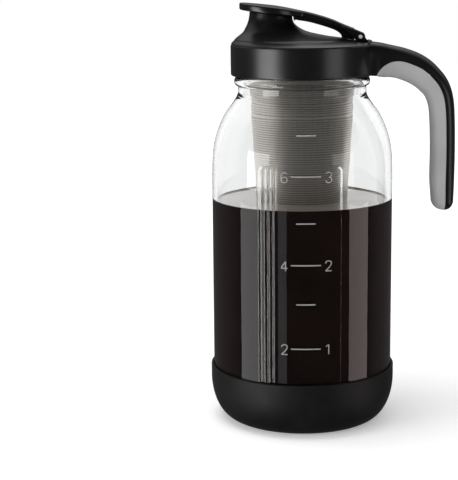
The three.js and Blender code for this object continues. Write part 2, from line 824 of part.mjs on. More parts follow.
// Skirt, top and spout in one, with the handle's back, the hinge lug and the inner screw ridge
function pouringLid(stations) {
  const outer = skin([
    ...edgeShares.map(([side, end]) =>
      circle(0, lidRadius - lidBaseRound * side, lidBase + lidBaseRound * end),
    ),
    circle(0, lidRadius, lidCrease - creaseRound),
    ...domeRings(lidCrease, lidRadius, spoutRadius, domeShares),
    circle(-spoutOffset, spoutRadius, spoutHeight - rimRound, rimSlopeShare),
    circle(-spoutOffset, spoutRadius - rimRound, spoutHeight, rimSlopeShare),
  ]);
  const skirtHollow = turned(
    [
      new THREE.Vector2(0, lidBase - overrun),
      new THREE.Vector2(skirtInner + skirtChamfer, lidBase - overrun),
      new THREE.Vector2(skirtInner + skirtChamfer, lidBase),
      new THREE.Vector2(skirtInner, lidBase + skirtChamfer),
      new THREE.Vector2(skirtInner, ceilingHeight),
      new THREE.Vector2(0, ceilingHeight),
    ],
    roundSteps,
  );
  const hollowRows = domeShares.filter((_, i) => i % 2 === 1);
  const spoutHollow = skin([
    circle(0, ceilingRadius, ceilingHeight - overrun),
    circle(0, ceilingRadius, ceilingHeight),
    ...domeRings(ceilingHeight, ceilingRadius, boreRadius, hollowRows),
    circle(-spoutOffset, boreRadius, spoutHeight - rimRound, rimSlopeShare),
    circle(-spoutOffset, boreRadius + rimRound, spoutHeight, rimSlopeShare),
    circle(-spoutOffset, boreRadius + rimRound, spoutHeight + overrun, rimSlopeShare),
  ]);
  const relief = crossBar(knuckleRadius + hingeGap, hingeWidth + 2 * hingeGap, pinX, pinHeight);
  const lug = solidOf(hingeLug());
  const pinHole = crossBar(pinRadius + pinPlay, hingeWidth, pinX, pinHeight);
  const ridge = screwRidge({
    wallRadius: skirtInner,
    crestRadius: lidCrestRadius,
    foot: lidRidgeFoot,
    crest: lidRidgeCrest,
    start: threadStart + threadPitch * lidRidgeStartTurn - ridgeSpacing(),
    startTurn: threadStartTurn + lidRidgeStartTurn,
    turns: lidRidgeTurns,
  });
  return solidOf(outer)
    .add(solidOf(handleBack(stations)))
    .subtract(solidOf(relief))
    .add(lug)
    .subtract(solidOf(pinHole))
    .subtract(solidOf(skirtHollow))
    .subtract(solidOf(spoutHollow))
    .add(solidOf(ridge));
}

// How far the lid's ridge lies under the jar's, measured where their flanks face each other
function ridgeSpacing() {
  const middle = (jarCrestRadius + lidCrestRadius) / 2;
  const jarShare = (jarCrestRadius - middle) / (jarCrestRadius - neckRadius);
  const lidShare = (middle - lidCrestRadius) / (skirtInner - lidCrestRadius);
  const jarHalf = THREE.MathUtils.lerp(jarRidgeCrest, jarRidgeFoot, jarShare) / 2;
  const lidHalf = THREE.MathUtils.lerp(lidRidgeCrest, lidRidgeFoot, lidShare) / 2;
  return jarHalf + lidHalf + threadPlay;
}

// The cap in its own frame, with the hinge pin's axis along Y through the origin
const headX = -capHeadOffset - pinX;
const tipX = headX - capHeadRadius;
const spoutX = -spoutOffset - pinX;
const armStart = spoutX + spoutRadius; // where the underside leaves the rim's plane
const plateEnd = -capEndGap;
const armFall = smoothTable(armShares);

function capUnder(x) {
  const overRim = rimHeight(x + pinX) + capGap - pinHeight;
  if (x <= armStart) return overRim;
  const startRise = rimHeight(armStart + pinX) + capGap - pinHeight;
  return startRise * armFall((x - armStart) / -armStart);
}

function capThickness(x) {
  const share = THREE.MathUtils.smoothstep(x, spoutX, armStart + spoutRadius);
  return THREE.MathUtils.lerp(capHeadThickness, capArmThickness, share);
}

function capTop(x) {
  return capUnder(x) + capThickness(x);
}

// Half the cap's width: a round head that runs into a straight arm
function capHalfWidth(x) {
  const head = Math.sqrt(Math.max(0, capHeadRadius ** 2 - (x - headX) ** 2));
  const arm = x > headX ? capArmWidth / 2 : 0;
  return (head ** headBlendShare + arm ** headBlendShare) ** (1 / headBlendShare);
}

// The cap's plate: rings round its edge, drawn in to its middle line below and above
function capPlate() {
  const places = [
    ...Array.from(
      { length: headSteps },
      (_, i) => headX - capHeadRadius * Math.cos((Math.PI / 2) * (i / headSteps)),
    ),
    ...Array.from({ length: armSteps + 1 }, (_, i) => THREE.MathUtils.lerp(headX, plateEnd, i / armSteps)),
  ];
  const side = places.map((x) => new THREE.Vector2(x, capHalfWidth(x)));
  const outline = [...side, ...side.slice(1).reverse().map((p) => new THREE.Vector2(p.x, -p.y))];
  const lineEnd = plateEnd - capEdgeRound;
  const middle = (p) => new THREE.Vector2(THREE.MathUtils.clamp(p.x, headX, lineEnd), 0);
  const level = (drawIn, height) =>
    outline.map((p) => {
      const heart = middle(p);
      const drawn = p.clone().sub(heart);
      drawn.setLength(Math.max(0, drawn.length() - drawIn(drawn.length()))).add(heart);
      return new THREE.Vector3(drawn.x, drawn.y, height(drawn.x));
    });
  const lowerEdge = edgeShares.map(([side, end]) =>
    level(() => capEdgeRound * side, (x) => capUnder(x) + capEdgeRound * end),
  );
  const upperEdge = edgeShares.map(([side, end]) =>
    level(() => capEdgeRound * side, (x) => capTop(x) - capEdgeRound * end),
  );
  return skin(
    [
      level((length) => length, capUnder),
      ...lowerEdge,
      ...upperEdge.reverse(),
      level((length) => length / 2, (x) => capTop(x) + capCrown * crownShare),
      level((length) => length, (x) => capTop(x) + capCrown),
    ],
    false,
  );
}

// The stiffening rib under the arm, ending in a foot that rests in front of the lug
function capRib() {
  const start = armStart + ribGap;
  const floorAt = (x) => lidTopAt(pinX + x) + footGap - pinHeight;
  const shape = new THREE.Shape();
  const along = (i, end) => THREE.MathUtils.lerp(start, end, i / armSteps);
  const curveEnd = -footFront - footRound;
  const curveTop = capUnder(-footFront) - ribDepth;
  shape.moveTo(start, capUnder(start) + capArmThickness / 2);
  for (let i = 1; i <= armSteps; i++) {
    const x = along(i, -footBack);
    shape.lineTo(x, capUnder(x) + capArmThickness / 2);
  }
  shape.lineTo(-footBack, floorAt(-footBack));
  shape.lineTo(-footFront, floorAt(-footFront));
  shape.quadraticCurveTo(-footFront, curveTop, curveEnd, capUnder(curveEnd) - ribDepth);
  for (let i = armSteps - 1; i >= 1; i--) {
    const x = along(i, curveEnd);
    shape.lineTo(x, capUnder(x) - ribDepth);
  }
  shape.lineTo(start + ribCorner, capUnder(start) - ribDepth - ribCorner);
  shape.lineTo(start, capUnder(start) - ribDepth / 2);
  shape.closePath();
  return plate(shape, ribWidth);
}

// One cheek of the cap's hinge, round the pin and run into the arm
function capKnuckle(side) {
  const start = -footFront;
  const shape = new THREE.Shape();
  shape.moveTo(start, capUnder(start) + capArmThickness / 2);
  shape.lineTo(start, capTop(start) - cheekDrop);
  shape.lineTo(plateEnd, capTop(plateEnd) - cheekDrop);
  const [from, to] = knuckleArcShares;
  shape.absarc(0, 0, knuckleRadius, Math.PI * from, Math.PI * to, true);
  shape.lineTo(plateEnd, -knuckleRadius / 2);
  shape.closePath();
  return plate(shape, knuckleWidth, (side * (hingeWidth - knuckleWidth)) / 2);
}

// The seat for the plug, in line with the tilted rim
function plugFrame() {
  const frame = new THREE.Matrix4().makeRotationY(Math.atan(rimSlopeShare));
  return frame.setPosition(spoutX, 0, spoutHeight - pinHeight);
}

function flipCap() {
  const seatRadius = plugFlange + plugSeatGap;
  const recessTop = plugRimGap + plugFlangeThickness + plugSeatGap;
  const recess = new THREE.CylinderGeometry(seatRadius, seatRadius, recessTop + overrun, plugSteps)
    .rotateX(Math.PI / 2)
    .translate(0, 0, (recessTop - overrun) / 2)
    .applyMatrix4(plugFrame());
  return [
    solidOf(capPlate()),
    solidOf(capRib()),
    solidOf(capKnuckle(-1)),
    solidOf(capKnuckle(1)),
  ]
    .reduce((sum, piece) => sum.add(piece))
    .subtract(solidOf(recess))
    .subtract(solidOf(crossBar(pinRadius + pinFit, hingeWidth + overrun, 0, 0)));
}

// The stopper under the cap: a flange that seals on the rim and a tapered body in the bore
function spoutPlug() {
  const top = plugRimGap + plugFlangeThickness;
  const profile = [
    new THREE.Vector2(0, top),
    new THREE.Vector2(plugFlange, top),
    new THREE.Vector2(plugFlange, plugRimGap),
    new THREE.Vector2(plugTopRadius, plugRimGap),
    new THREE.Vector2(plugTopRadius + plugRibProud, -plugRibHeight / 2),
    new THREE.Vector2(plugTopRadius, -plugRibHeight),
    new THREE.Vector2(plugBottomRadius, plugBottomRound - plugDepth),
    new THREE.Vector2(plugBottomRadius - plugBottomRound, -plugDepth),
    new THREE.Vector2(plugHollowRadius, -plugDepth),
    new THREE.Vector2(plugHollowRadius, plugHollowDepth - plugDepth),
    new THREE.Vector2(0, plugHollowDepth - plugDepth),
  ];
  return turned(profile, plugSteps);
}

function hingePin() {
  return new THREE.CylinderGeometry(pinRadius, pinRadius, hingeWidth + 2 * pinProud, pinSteps);
}

// A named piece of the assembly
function piece(name, shape, material) {
  const geometry = shape.isBufferGeometry ? tidy(shape) : geometryOf(shape);
  const mesh = new THREE.Mesh(geometry, material);
  mesh.name = name;
  return mesh;
}

const coffeeMaker = new THREE.Group();

const jar = new THREE.Group();
jar.add(
  piece("glass_jar", glassJar(), materials.glass),
  piece("silicone_boot", siliconeBoot(), materials.boot),
);

const filter = new THREE.Group();
filter.position.z = jarTop;
filter.add(
  piece("filter_rim", filterRim(), materials.polishedSteel),
  piece("filter_sleeve", filterSleeve(), materials.polishedSteel),
  piece("filter_mesh", filterMesh(), materials.meshSteel),
  piece("filter_cup", filterCup(), materials.polishedSteel),
);

const gasket = piece("lid_gasket", lidGasket(), materials.silicone);
gasket.position.z = ceilingHeight - gasketGap - gasketThickness;

const lid = new THREE.Group();
const stations = handleStations();
lid.add(
  piece("pouring_lid", pouringLid(stations), materials.blackPlastic),
  piece("handle_grip", handleGrip(stations), materials.grip),
);

const cap = new THREE.Group();
cap.position.set(pinX, 0, pinHeight);
const plug = piece("spout_plug", spoutPlug(), materials.plug);
plug.applyMatrix4(plugFrame());
cap.add(
  piece("flip_cap", flipCap(), materials.blackPlastic),
  piece("hinge_pin", hingePin(), materials.polishedSteel),
  plug,
);
lid.add(cap);

coffeeMaker.add(jar, filter, gasket, lid);

export default coffeeMaker;
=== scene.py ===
import math

import bmesh
import bpy
from mathutils import Matrix, Vector


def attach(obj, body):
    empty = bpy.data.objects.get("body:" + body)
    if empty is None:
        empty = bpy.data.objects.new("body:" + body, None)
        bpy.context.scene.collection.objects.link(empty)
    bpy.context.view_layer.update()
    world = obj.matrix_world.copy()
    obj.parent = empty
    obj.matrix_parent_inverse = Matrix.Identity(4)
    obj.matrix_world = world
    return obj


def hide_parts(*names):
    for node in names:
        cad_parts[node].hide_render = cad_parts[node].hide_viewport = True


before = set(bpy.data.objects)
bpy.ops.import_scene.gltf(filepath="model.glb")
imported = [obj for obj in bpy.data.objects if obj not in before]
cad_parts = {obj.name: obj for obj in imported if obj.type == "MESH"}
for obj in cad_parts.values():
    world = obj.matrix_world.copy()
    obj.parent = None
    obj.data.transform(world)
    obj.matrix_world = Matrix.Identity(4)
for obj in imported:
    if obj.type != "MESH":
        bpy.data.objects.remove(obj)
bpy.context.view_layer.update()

mm = 0.001  # sizes in the dictionaries are in millimetres, those of the lamps in metres
full = 2 * math.pi  # one turn
print("frame loaded:", len(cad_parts), "nodes")

viewCamera = {
    "place": (0, -953.6, 305.5),
    "pitch": 11.144,
    "yaw": 2.827,
    "lens": 110.9,
    "sensor": 36,
    "clip": (0.05, 20),  # metres
}


def addCamera():
    camera = bpy.data.objects.new("viewCamera", bpy.data.cameras.new("viewCamera"))
    bpy.context.scene.collection.objects.link(camera)
    camera.data.lens = viewCamera["lens"]
    camera.data.sensor_width = viewCamera["sensor"]
    camera.data.clip_start, camera.data.clip_end = viewCamera["clip"]
    tilt = Matrix.Rotation(math.radians(90 - viewCamera["pitch"]), 4, "X")
    turn = Matrix.Rotation(math.radians(viewCamera["yaw"]), 4, "Y")  # about the camera's own up
    camera.matrix_world = Matrix.Translation(Vector(viewCamera["place"]) * mm) @ tilt @ turn
    bpy.context.scene.camera = camera


addCamera()


# making meshes

def newPiece(name, points, faces):
    mesh = bpy.data.meshes.new(name)
    mesh.from_pydata([Vector(point) * mm for point in points], [], faces)
    piece = bpy.data.objects.new(name, mesh)
    bpy.context.scene.collection.objects.link(piece)
    cleanMesh(piece)
    return piece


# weld points in one place, drop faces without area and turn all faces outwards
def cleanMesh(piece, weld=1e-6, sliver=1e-7):
    work = bmesh.new()
    work.from_mesh(piece.data)
    bmesh.ops.remove_doubles(work, verts=work.verts, dist=weld)
    bmesh.ops.dissolve_degenerate(work, edges=work.edges, dist=sliver)
    bmesh.ops.recalc_face_normals(work, faces=work.faces)
    work.to_mesh(piece.data)
    work.free()


# a skin over a row of rings that have the same number of points
def skinRings(name, rings, loop=False, caps=True):
    count = len(rings[0])
    points = [point for ring in rings for point in ring]
    faces = []
    for row in range(len(rings) if loop else len(rings) - 1):
        low = row * count
        high = (row + 1) % len(rings) * count
        for i in range(count):
            j = (i + 1) % count
            faces.append((low + i, low + j, high + j, high + i))
    if caps and not loop:
        faces.append(tuple(range(count)))
        faces.append(tuple(range(len(points) - count, len(points))))
    return newPiece(name, points, faces)


def polar(radius, angle, height):
    return Vector((radius * math.cos(angle), radius * math.sin(angle), height))


# a circle that may slope down towards +X
def circleAt(x, radius, height, slope=0, steps=128):
    ring = []
    for i in range(steps):
        out = radius * math.cos(full * i / steps)
        ring.append(Vector((x + out, radius * math.sin(full * i / steps), height - slope * out)))
    return ring


# a profile of (radius, height) turned round the Z axis
def lathe(name, profile, steps=128, loop=False):
    rings = [circleAt(0, radius, height, steps=steps) for radius, height in profile]
    return skinRings(name, rings, loop=loop, caps=False)


# points of an ellipse's arc, angles in degrees
def arc(centreR, centreZ, width, height, start, end, steps):
    points = []
    for i in range(steps + 1):
        angle = math.radians(start + (end - start) * i / steps)
        points.append((centreR + width * math.cos(angle), centreZ + height * math.sin(angle)))
    return points


# the same for a circle
def fillet(centreR, centreZ, radius, start, end, steps):
    return arc(centreR, centreZ, radius, radius, start, end, steps)


# a flat outline of (x, z), thickened along Y about y = middle
def plate(name, outline, thickness, middle=0):
    count = len(outline)
    points = [(x, middle + side * thickness / 2, z) for side in (-1, 1) for x, z in outline]
    faces = [tuple(range(count)), tuple(range(count, 2 * count))]
    for i in range(count):
        j = (i + 1) % count
        faces.append((i, j, count + j, count + i))
    return newPiece(name, points, faces)


def crossBar(name, radius, length, x, z, steps=48):
    return plate(name, fillet(x, z, radius, 0, 360, steps)[:-1], length)


def applyChanges(piece):
    graph = bpy.context.evaluated_depsgraph_get()
    graph.update()
    done = bpy.data.meshes.new_from_object(piece.evaluated_get(graph))
    piece.modifiers.clear()
    old = piece.data
    piece.data = done
    bpy.data.meshes.remove(old)


def roundEdges(piece, width, segments=2, angle=30):
    change = piece.modifiers.new("roundEdges", "BEVEL")
    change.width = width * mm
    change.segments = segments
    change.limit_method = "ANGLE"
    change.angle_limit = math.radians(angle)
    applyChanges(piece)


def combine(piece, tool, way):
    change = piece.modifiers.new(way, "BOOLEAN")
    change.operation = way
    change.solver = "EXACT"
    change.object = tool
    applyChanges(piece)
    bpy.data.objects.remove(tool)


# smooth shading, with creases where faces meet at more than the given angle
def shade(piece, angle):
    work = bmesh.new()
    work.from_mesh(piece.data)
    for face in work.faces:
        face.smooth = True
    for edge in work.edges:
        if len(edge.link_faces) == 2:
            edge.smooth = edge.calc_face_angle(0) < math.radians(angle)
    work.to_mesh(piece.data)
    work.free()


# smooth curve through rows of (place, value, ...), read at one place
def along(rows, place, column=1):
    last = len(rows) - 1
    place = min(max(place, rows[0][0]), rows[last][0])
    i = 0
    while i < last - 1 and rows[i + 1][0] < place:
        i += 1

    def steepness(k):
        low, high = rows[max(k - 1, 0)], rows[min(k + 1, last)]
        return (high[column] - low[column]) / (high[0] - low[0])

    width = rows[i + 1][0] - rows[i][0]
    t = (place - rows[i][0]) / width
    here, there = rows[i][column], rows[i + 1][column]
    return (
        here * (2 * t**3 - 3 * t**2 + 1)
        + there * (3 * t**2 - 2 * t**3)
        + steepness(i) * width * (t**3 - 2 * t**2 + t)
        + steepness(i + 1) * width * (t**3 - t**2)
    )


def mix(a, b, share):
    return a + (b - a) * share


def ease(value, low, high):
    t = min(max((value - low) / (high - low), 0), 1)
    return t * t * (3 - 2 * t)


def spaced(first, step, count):
    return [first + step * i for i in range(count)]


# making materials

def newMaterial(name):
    material = bpy.data.materials.new(name)
    material.use_nodes = True
    material.node_tree.nodes.clear()
    return material


def addNode(owner, kind, values=None, **settings):
    node = owner.node_tree.nodes.new(kind)
    for key, value in settings.items():
        setattr(node, key, value)
    for key, value in (values or {}).items():
        node.inputs[key].default_value = value
    return node


def join(owner, source, output, target, socket):
    owner.node_tree.links.new(source.outputs[output], target.inputs[socket])


# the shader of a surface, with plain values on its own sockets
def addSurface(material, values):
    shader = addNode(material, "ShaderNodeBsdfPrincipled", values)
    join(material, shader, "BSDF", addNode(material, "ShaderNodeOutputMaterial"), "Surface")
    return shader


def addPlace(material, stretch=(1, 1, 1)):
    scaled = addNode(material, "ShaderNodeMapping", {"Scale": stretch})
    join(material, addNode(material, "ShaderNodeTexCoord"), "Object", scaled, "Vector")
    return scaled


def addNoise(material, place, scale, detail, rough=0.5):
    noise = addNode(material, "ShaderNodeTexNoise",
                    {"Scale": scale, "Detail": detail, "Roughness": rough})
    join(material, place, "Vector", noise, "Vector")
    return noise


def addRange(material, source, output, target, socket, low, high, start=0.3, end=0.7):
    change = addNode(material, "ShaderNodeMapRange",
                     {"From Min": start, "From Max": end, "To Min": low, "To Max": high})
    join(material, source, output, change, "Value")
    join(material, change, "Result", target, socket)


def addTint(material, source, output, target, socket, dark, light, start=0.3, end=0.7):
    ramp = addNode(material, "ShaderNodeValToRGB")
    for element, place, tone in zip(ramp.color_ramp.elements, (start, end), (dark, light)):
        element.position = place
        element.color = (*tone, 1)
    join(material, source, output, ramp, "Fac")
    join(material, ramp, "Color", target, socket)


def addBump(material, source, output, shader, depth, strength):
    bump = addNode(material, "ShaderNodeBump", {"Strength": strength, "Distance": depth * mm})
    join(material, source, output, bump, "Height")
    join(material, bump, "Normal", shader, "Normal")


softSilicone = {"IOR": 1.42, "Specular IOR Level": 0.4, "Sheen Weight": 0.04, "Sheen Roughness": 0.4}

# a finish has the shader's own "values" and, where it needs them:
# "patches", a noise (scale, detail, roughness) that tints "dark" to "light" and spreads the "roughness"
# "band", where in that noise the tint starts and ends
# "grain", another noise, which "stretch" scales along each axis
# "bump", depth and strength of the grain, or of the patches where there is no grain
finishes = {
    "satinPlastic": {
        "values": {"IOR": 1.5, "Specular IOR Level": 0.6},
        "patches": (38, 4),
        "dark": (0.004, 0.0041, 0.0045),
        "light": (0.0065, 0.0067, 0.0072),
        "roughness": (0.27, 0.34),
        "grain": (2600, 3),
        "bump": (0.015, 0.5),
    },
    "bootSilicone": {
        "values": softSilicone,
        "patches": (60, 6, 0.6),
        "dark": (0.0042, 0.0043, 0.0049),
        "light": (0.0075, 0.0078, 0.0085),
        "band": (0.4, 0.75),
        "roughness": (0.5, 0.62),
        "grain": (1900, 3),
        "bump": (0.03, 0.7),
    },
    "plugSilicone": {
        "values": softSilicone,
        "patches": (1100, 3),
        "dark": (0.02, 0.02, 0.023),
        "light": (0.03, 0.03, 0.033),
        "roughness": (0.48, 0.58),
        "bump": (0.02, 0.5),
    },
    "sealSilicone": {
        "values": {
            "Base Color": (0.72, 0.72, 0.7, 1),
            "Subsurface Weight": 0.25,
            "Subsurface Radius": (0.004, 0.004, 0.004),
            "IOR": 1.42,
        },
        "patches": (240, 3),
        "roughness": (0.42, 0.55),
        "bump": (0.02, 0.5),
    },
    "gripRubber": {
        "values": {"IOR": 1.45, "Sheen Weight": 0.1, "Sheen Roughness": 0.5},
        "patches": (45, 5),
        "dark": (0.35, 0.35, 0.353),
        "light": (0.41, 0.41, 0.412),
        "roughness": (0.5, 0.6),
        "grain": (1500, 4, 0.6),
        "bump": (0.04, 0.7),
    },
    "mouldedGlass": {
        "values": {"Base Color": (0.958, 0.965, 0.963, 1), "Transmission Weight": 1.0, "IOR": 1.5,
                   "Roughness": 0.0},
        "grain": (22, 1),
        "stretch": (1, 1, 0.45),
        "bump": (0.35, 0.5),
    },
    # seen through the glass that it wets, so it hardly mirrors
    "brewedCoffee": {
        "values": {"IOR": 1.34, "Specular IOR Level": 0.06, "Sheen Weight": 0.85,
                   "Sheen Roughness": 0.45, "Sheen Tint": (0.5, 0.19, 0.17, 1)},
        "patches": (26, 3),
        "dark": (0.006, 0.0034, 0.0029),
        "light": (0.011, 0.0062, 0.0054),
        "roughness": (0.03, 0.07),
        "grain": (30, 1),
        "bump": (0.15, 0.3),
    },
    # the brew's surface: its light grey-brown colour is a painted reflection
    "coffeeTopPaintedReflection": {
        "values": {"IOR": 1.34, "Specular IOR Level": 1.0, "Roughness": 0.04},
        "patches": (30, 4),
        "dark": (0.3, 0.25, 0.21),
        "light": (0.42, 0.36, 0.31),
        "grain": (30, 1),
        "bump": (0.1, 0.2),
    },
    # the thin edge of the brew against the glass, where light gets through
    "coffeeRim": {
        "values": {"IOR": 1.34, "Transmission Weight": 0.35, "Roughness": 0.12},
        "patches": (60, 3),
        "dark": (0.16, 0.07, 0.03),
        "light": (0.34, 0.18, 0.09),
        "bump": (0.1, 0.3),
    },
    "polishedSteel": {
        "values": {"Metallic": 1.0, "Base Color": (0.8, 0.795, 0.785, 1), "Anisotropic": 0.4},
        "patches": (70, 4),
        "roughness": (0.1, 0.2),
        "grain": (1, 3),
        "stretch": (12, 12, 1400),
        "bump": (0.01, 0.25),
    },
    # the metal pin's end is coloured pale and half matt so that it shows white: a painted glint
    "pinPaintedGlint": {
        "values": {"Metallic": 0.25},
        "patches": (500, 3),
        "dark": (0.72, 0.72, 0.71),
        "light": (0.88, 0.88, 0.87),
        "roughness": (0.35, 0.5),
        "bump": (0.02, 0.4),
    },
    # the scale's marks are moulded in the glass; their light grey colour is a painted highlight
    "markPaintedHighlight": {
        "values": {"IOR": 1.5},
        "patches": (900, 3),
        "dark": (0.32, 0.315, 0.305),
        "light": (0.46, 0.455, 0.44),
        "roughness": (0.25, 0.4),
    },
}

wovenSteel = {
    "values": {"Metallic": 0.95},
    "wireStep": 1.45,  # height of one band of wires
    "wobble": 0.25,
    "upright": (1, 2),
    "uprightStretch": (700, 700, 25),
    "uprightShare": 0.35,
    "dark": (0.26, 0.24, 0.22),
    "light": (0.6, 0.562, 0.524),
    "band": (0.1, 0.75),
    "stain": (50, 3),
    "roughness": (0.34, 0.46),
    "bump": (0.12, 0.8),
}


def makeFinish(name, finish):
    material = newMaterial(name)
    shader = addSurface(material, finish["values"])
    noise = None
    if "patches" in finish:
        noise = addNoise(material, addPlace(material), *finish["patches"])
    if "dark" in finish:
        addTint(material, noise, "Fac", shader, "Base Color", finish["dark"], finish["light"],
                *finish.get("band", ()))
    if "roughness" in finish:
        addRange(material, noise, "Fac", shader, "Roughness", *finish["roughness"])
    if "grain" in finish:
        place = addPlace(material, finish.get("stretch", (1, 1, 1)))
        noise = addNoise(material, place, *finish["grain"])
    if "bump" in finish:
        addBump(material, noise, "Fac", shader, *finish["bump"])
    return material


# bands of wires across, broken up by the upright ones
def makeWovenSteel():
    material = newMaterial("wovenSteel")
    shader = addSurface(material, wovenSteel["values"])
    place = addPlace(material)
    waves = full / (20 * wovenSteel["wireStep"] * mm)  # a wave of scale 1 has 20 radians to the metre
    across = addNode(material, "ShaderNodeTexWave",
                     {"Scale": waves, "Distortion": wovenSteel["wobble"]},
                     bands_direction="Z", wave_profile="SIN")
    join(material, place, "Vector", across, "Vector")
    stretched = addPlace(material, wovenSteel["uprightStretch"])
    upright = addNoise(material, stretched, *wovenSteel["upright"])
    weave = addNode(material, "ShaderNodeMix", {0: wovenSteel["uprightShare"]}, data_type="FLOAT")
    join(material, across, "Fac", weave, 2)
    join(material, upright, "Fac", weave, 3)
    addTint(material, weave, 0, shader, "Base Color", wovenSteel["dark"], wovenSteel["light"],
            *wovenSteel["band"])
    stain = addNoise(material, place, *wovenSteel["stain"])
    addRange(material, stain, "Fac", shader, "Roughness", *wovenSteel["roughness"])
    addBump(material, weave, 0, shader, *wovenSteel["bump"])
    return material


materials = {name: makeFinish(name, finish) for name, finish in finishes.items()}
materials["wovenSteel"] = makeWovenSteel()
print("materials made:", len(materials))


# the last step of every piece: finish, body, and the CAD node it stands for
def settle(piece, finish, body, node=None, angle=40):
    shade(piece, angle)
    piece.data.materials.clear()
    piece.data.materials.append(materials[finish])
    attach(piece, body)
    if node:
        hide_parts(node)


# boot

boot = {
    "radius": 60.3,
    "height": 35.8,
    "floor": 2.2,
    "cornerWidth": 16,
    "cornerHeight": 28,
    "footRing": 2,  # the flat next to the corner
    "rimRound": 0.6,
    "innerRadius": 58.8,
}


def makeBoot():
    radius, inner, height, rim = boot["radius"], boot["innerRadius"], boot["height"], boot["rimRound"]
    width, rise = boot["cornerWidth"], boot["cornerHeight"]
    innerWidth = width - (radius - inner)
    profile = [(0, 0), (radius - width - boot["footRing"], 0)]
    profile += arc(radius - width, rise, width, rise, -90, 0, 20)
    profile += fillet(radius - rim, height - rim, rim, 0, 90, 5)
    profile += fillet(inner + rim / 2, height - rim / 2, rim / 2, 90, 180, 3)
    profile += arc(inner - innerWidth, rise, innerWidth, rise - boot["floor"], 0, -90, 16)
    profile.append((0, boot["floor"]))
    settle(lathe("boot", profile, 160), "bootSilicone", "jar", "silicone_boot", 50)


makeBoot()
print("boot made")


# jar

jar = {
    "radius": 58.5,
    "wall": 3,
    "floor": 5,
    "standHeight": 2.2,
    "puntRadius": 30,
    "puntHeight": 1.5,
    "puntSlope": 4,
    "cornerWidth": 14.2,
    "cornerHeight": 25.8,
    "shoulderBase": 160,
    "neckBase": 214.8,
    "neckRadius": 41.3,
    "neckWall": 3.3,
    "top": 239,
    "lipRound": 1,
    "beadRadius": 43.7,
    "beadHeight": 222.3,
    "beadWidth": 6,
    # share of the shoulder's height, share of the way in
    "shoulder": ((0, 0), (0.2, 0.02), (0.385, 0.075), (0.575, 0.243), (0.765, 0.52),
                 (0.86, 0.75), (0.95, 0.94), (1, 1)),
    # heights of the rings on the wall and on the neck
    "wallRings": (30, 42.5, 55, 67.5, 80, 92.5, 105, 117.5, 130, 142.5, 158),
    "neckRings": (226.5, 230, 234, 237),
    "backPoints": 112,  # round the jar, away from the panel
}

panel = {
    "halfWidth": 25.4,
    "top": 174,
    "cornerRound": 3,
    "middleDepth": 1.2,
    "edgeDepth": 0.5,
    "bevel": 0.45,
    "leastRadius": 57,  # where the jar is narrower there is no panel
    # places across and height of the ribs at the panel's left edge
    "ribs": (-22.2, -19.0, -15.9),
    "ribHalf": 1.25,
    "ribHeight": 0.42,
    "ribPower": 0.8,
    "ribFade": 2.5,  # below the panel's top
    "turn": -1.188,  # degrees about the jar's axis
    # points across: beside an edge, beside a rib in shares of its half, and from, step, count between
    "edgePoints": (0, 0.22, 0.45, 0.9),
    "ribPoints": (0, 0.25, 0.5, 0.8, 1),
    "facePoints": (-13.5, 1.35, 28),
    "topRings": (170, 0.3, 17),
}
panelTurn = Matrix.Rotation(math.radians(panel["turn"]), 4, "Z")

screw = {
    "pitch": 6.35,
    "turns": 1.25,
    "start": 227.6,
    "startTurn": 0.55,
    "jarCrest": 43,
    "jarFoot": 3,
    "jarCrestWidth": 1.1,
    "lidCrest": 41.95,
    "lidFoot": 2.6,
    "lidCrestWidth": 0.9,
    "lidStartTurn": 0.32,
    "lidTurns": 1,
    "spacing": 2.33,
    "fadeTurn": 0.08,
    "root": 0.5,
    # the rounded edge of the crest: share of the rise, out and in from the crest's width
    "edge": (0.85, 0.22, 0.1),
}


# the jar's outer radius at a height of its wall or shoulder
def jarRadiusAt(height):
    share = min(max((height - jar["shoulderBase"]) / (jar["neckBase"] - jar["shoulderBase"]), 0), 1)
    return mix(jar["radius"], jar["neckRadius"], along(jar["shoulder"], share))


def shoulderLine(startRadius, endRadius, bottom, top, steps=28):
    points = []
    for i in range(steps + 1):
        share = math.sin(math.pi / 2 * i / steps)
        inward = along(jar["shoulder"], share)
        points.append((mix(startRadius, endRadius, inward), mix(bottom, top, share)))
    return points


# how far a point of the jar's front is set back into the measuring panel
def panelDepth(x, z):
    half, corner = panel["halfWidth"], panel["cornerRound"]
    besideCorner = max(abs(x) - (half - corner), 0)
    aboveCorner = max(z - (panel["top"] - corner), 0)
    outside = math.hypot(besideCorner, aboveCorner) - corner
    inside = 1 - ease(outside, -panel["bevel"], panel["bevel"])
    if inside == 0:
        return 0
    bow = jar["radius"] - math.sqrt(jar["radius"] ** 2 - x * x)
    edge = jar["radius"] - math.sqrt(jar["radius"] ** 2 - half**2) + panel["edgeDepth"]
    flat = panel["middleDepth"] + (edge - panel["middleDepth"]) * (x / half) ** 2
    depth = flat - bow
    topFade = ease(panel["top"] - z, 0, panel["ribFade"])
    for rib in panel["ribs"]:
        away = abs(x - rib) / panel["ribHalf"]
        if away < 1:
            depth -= panel["ribHeight"] * math.cos(away * math.pi / 2) ** panel["ribPower"] * topFade
    return depth * inside


# angles round the jar, close together where the panel's edges and ribs are
def jarAngles():
    places = spaced(*panel["facePoints"])
    near = [(edge, panel["edgePoints"]) for edge in (-panel["halfWidth"], panel["halfWidth"])]
    near += [(rib, [share * panel["ribHalf"] for share in panel["ribPoints"]]) for rib in panel["ribs"]]
    for middle, steps in near:
        places += [middle + side * step for side in (-1, 1) for step in steps]
    across = {round(place, 3) for place in places}
    front = sorted(math.asin(x / jar["radius"]) - math.pi / 2 for x in across)
    gap = full - (front[-1] - front[0])
    count = jar["backPoints"]
    return front + [front[-1] + gap * (i + 1) / (count + 1) for i in range(count)]


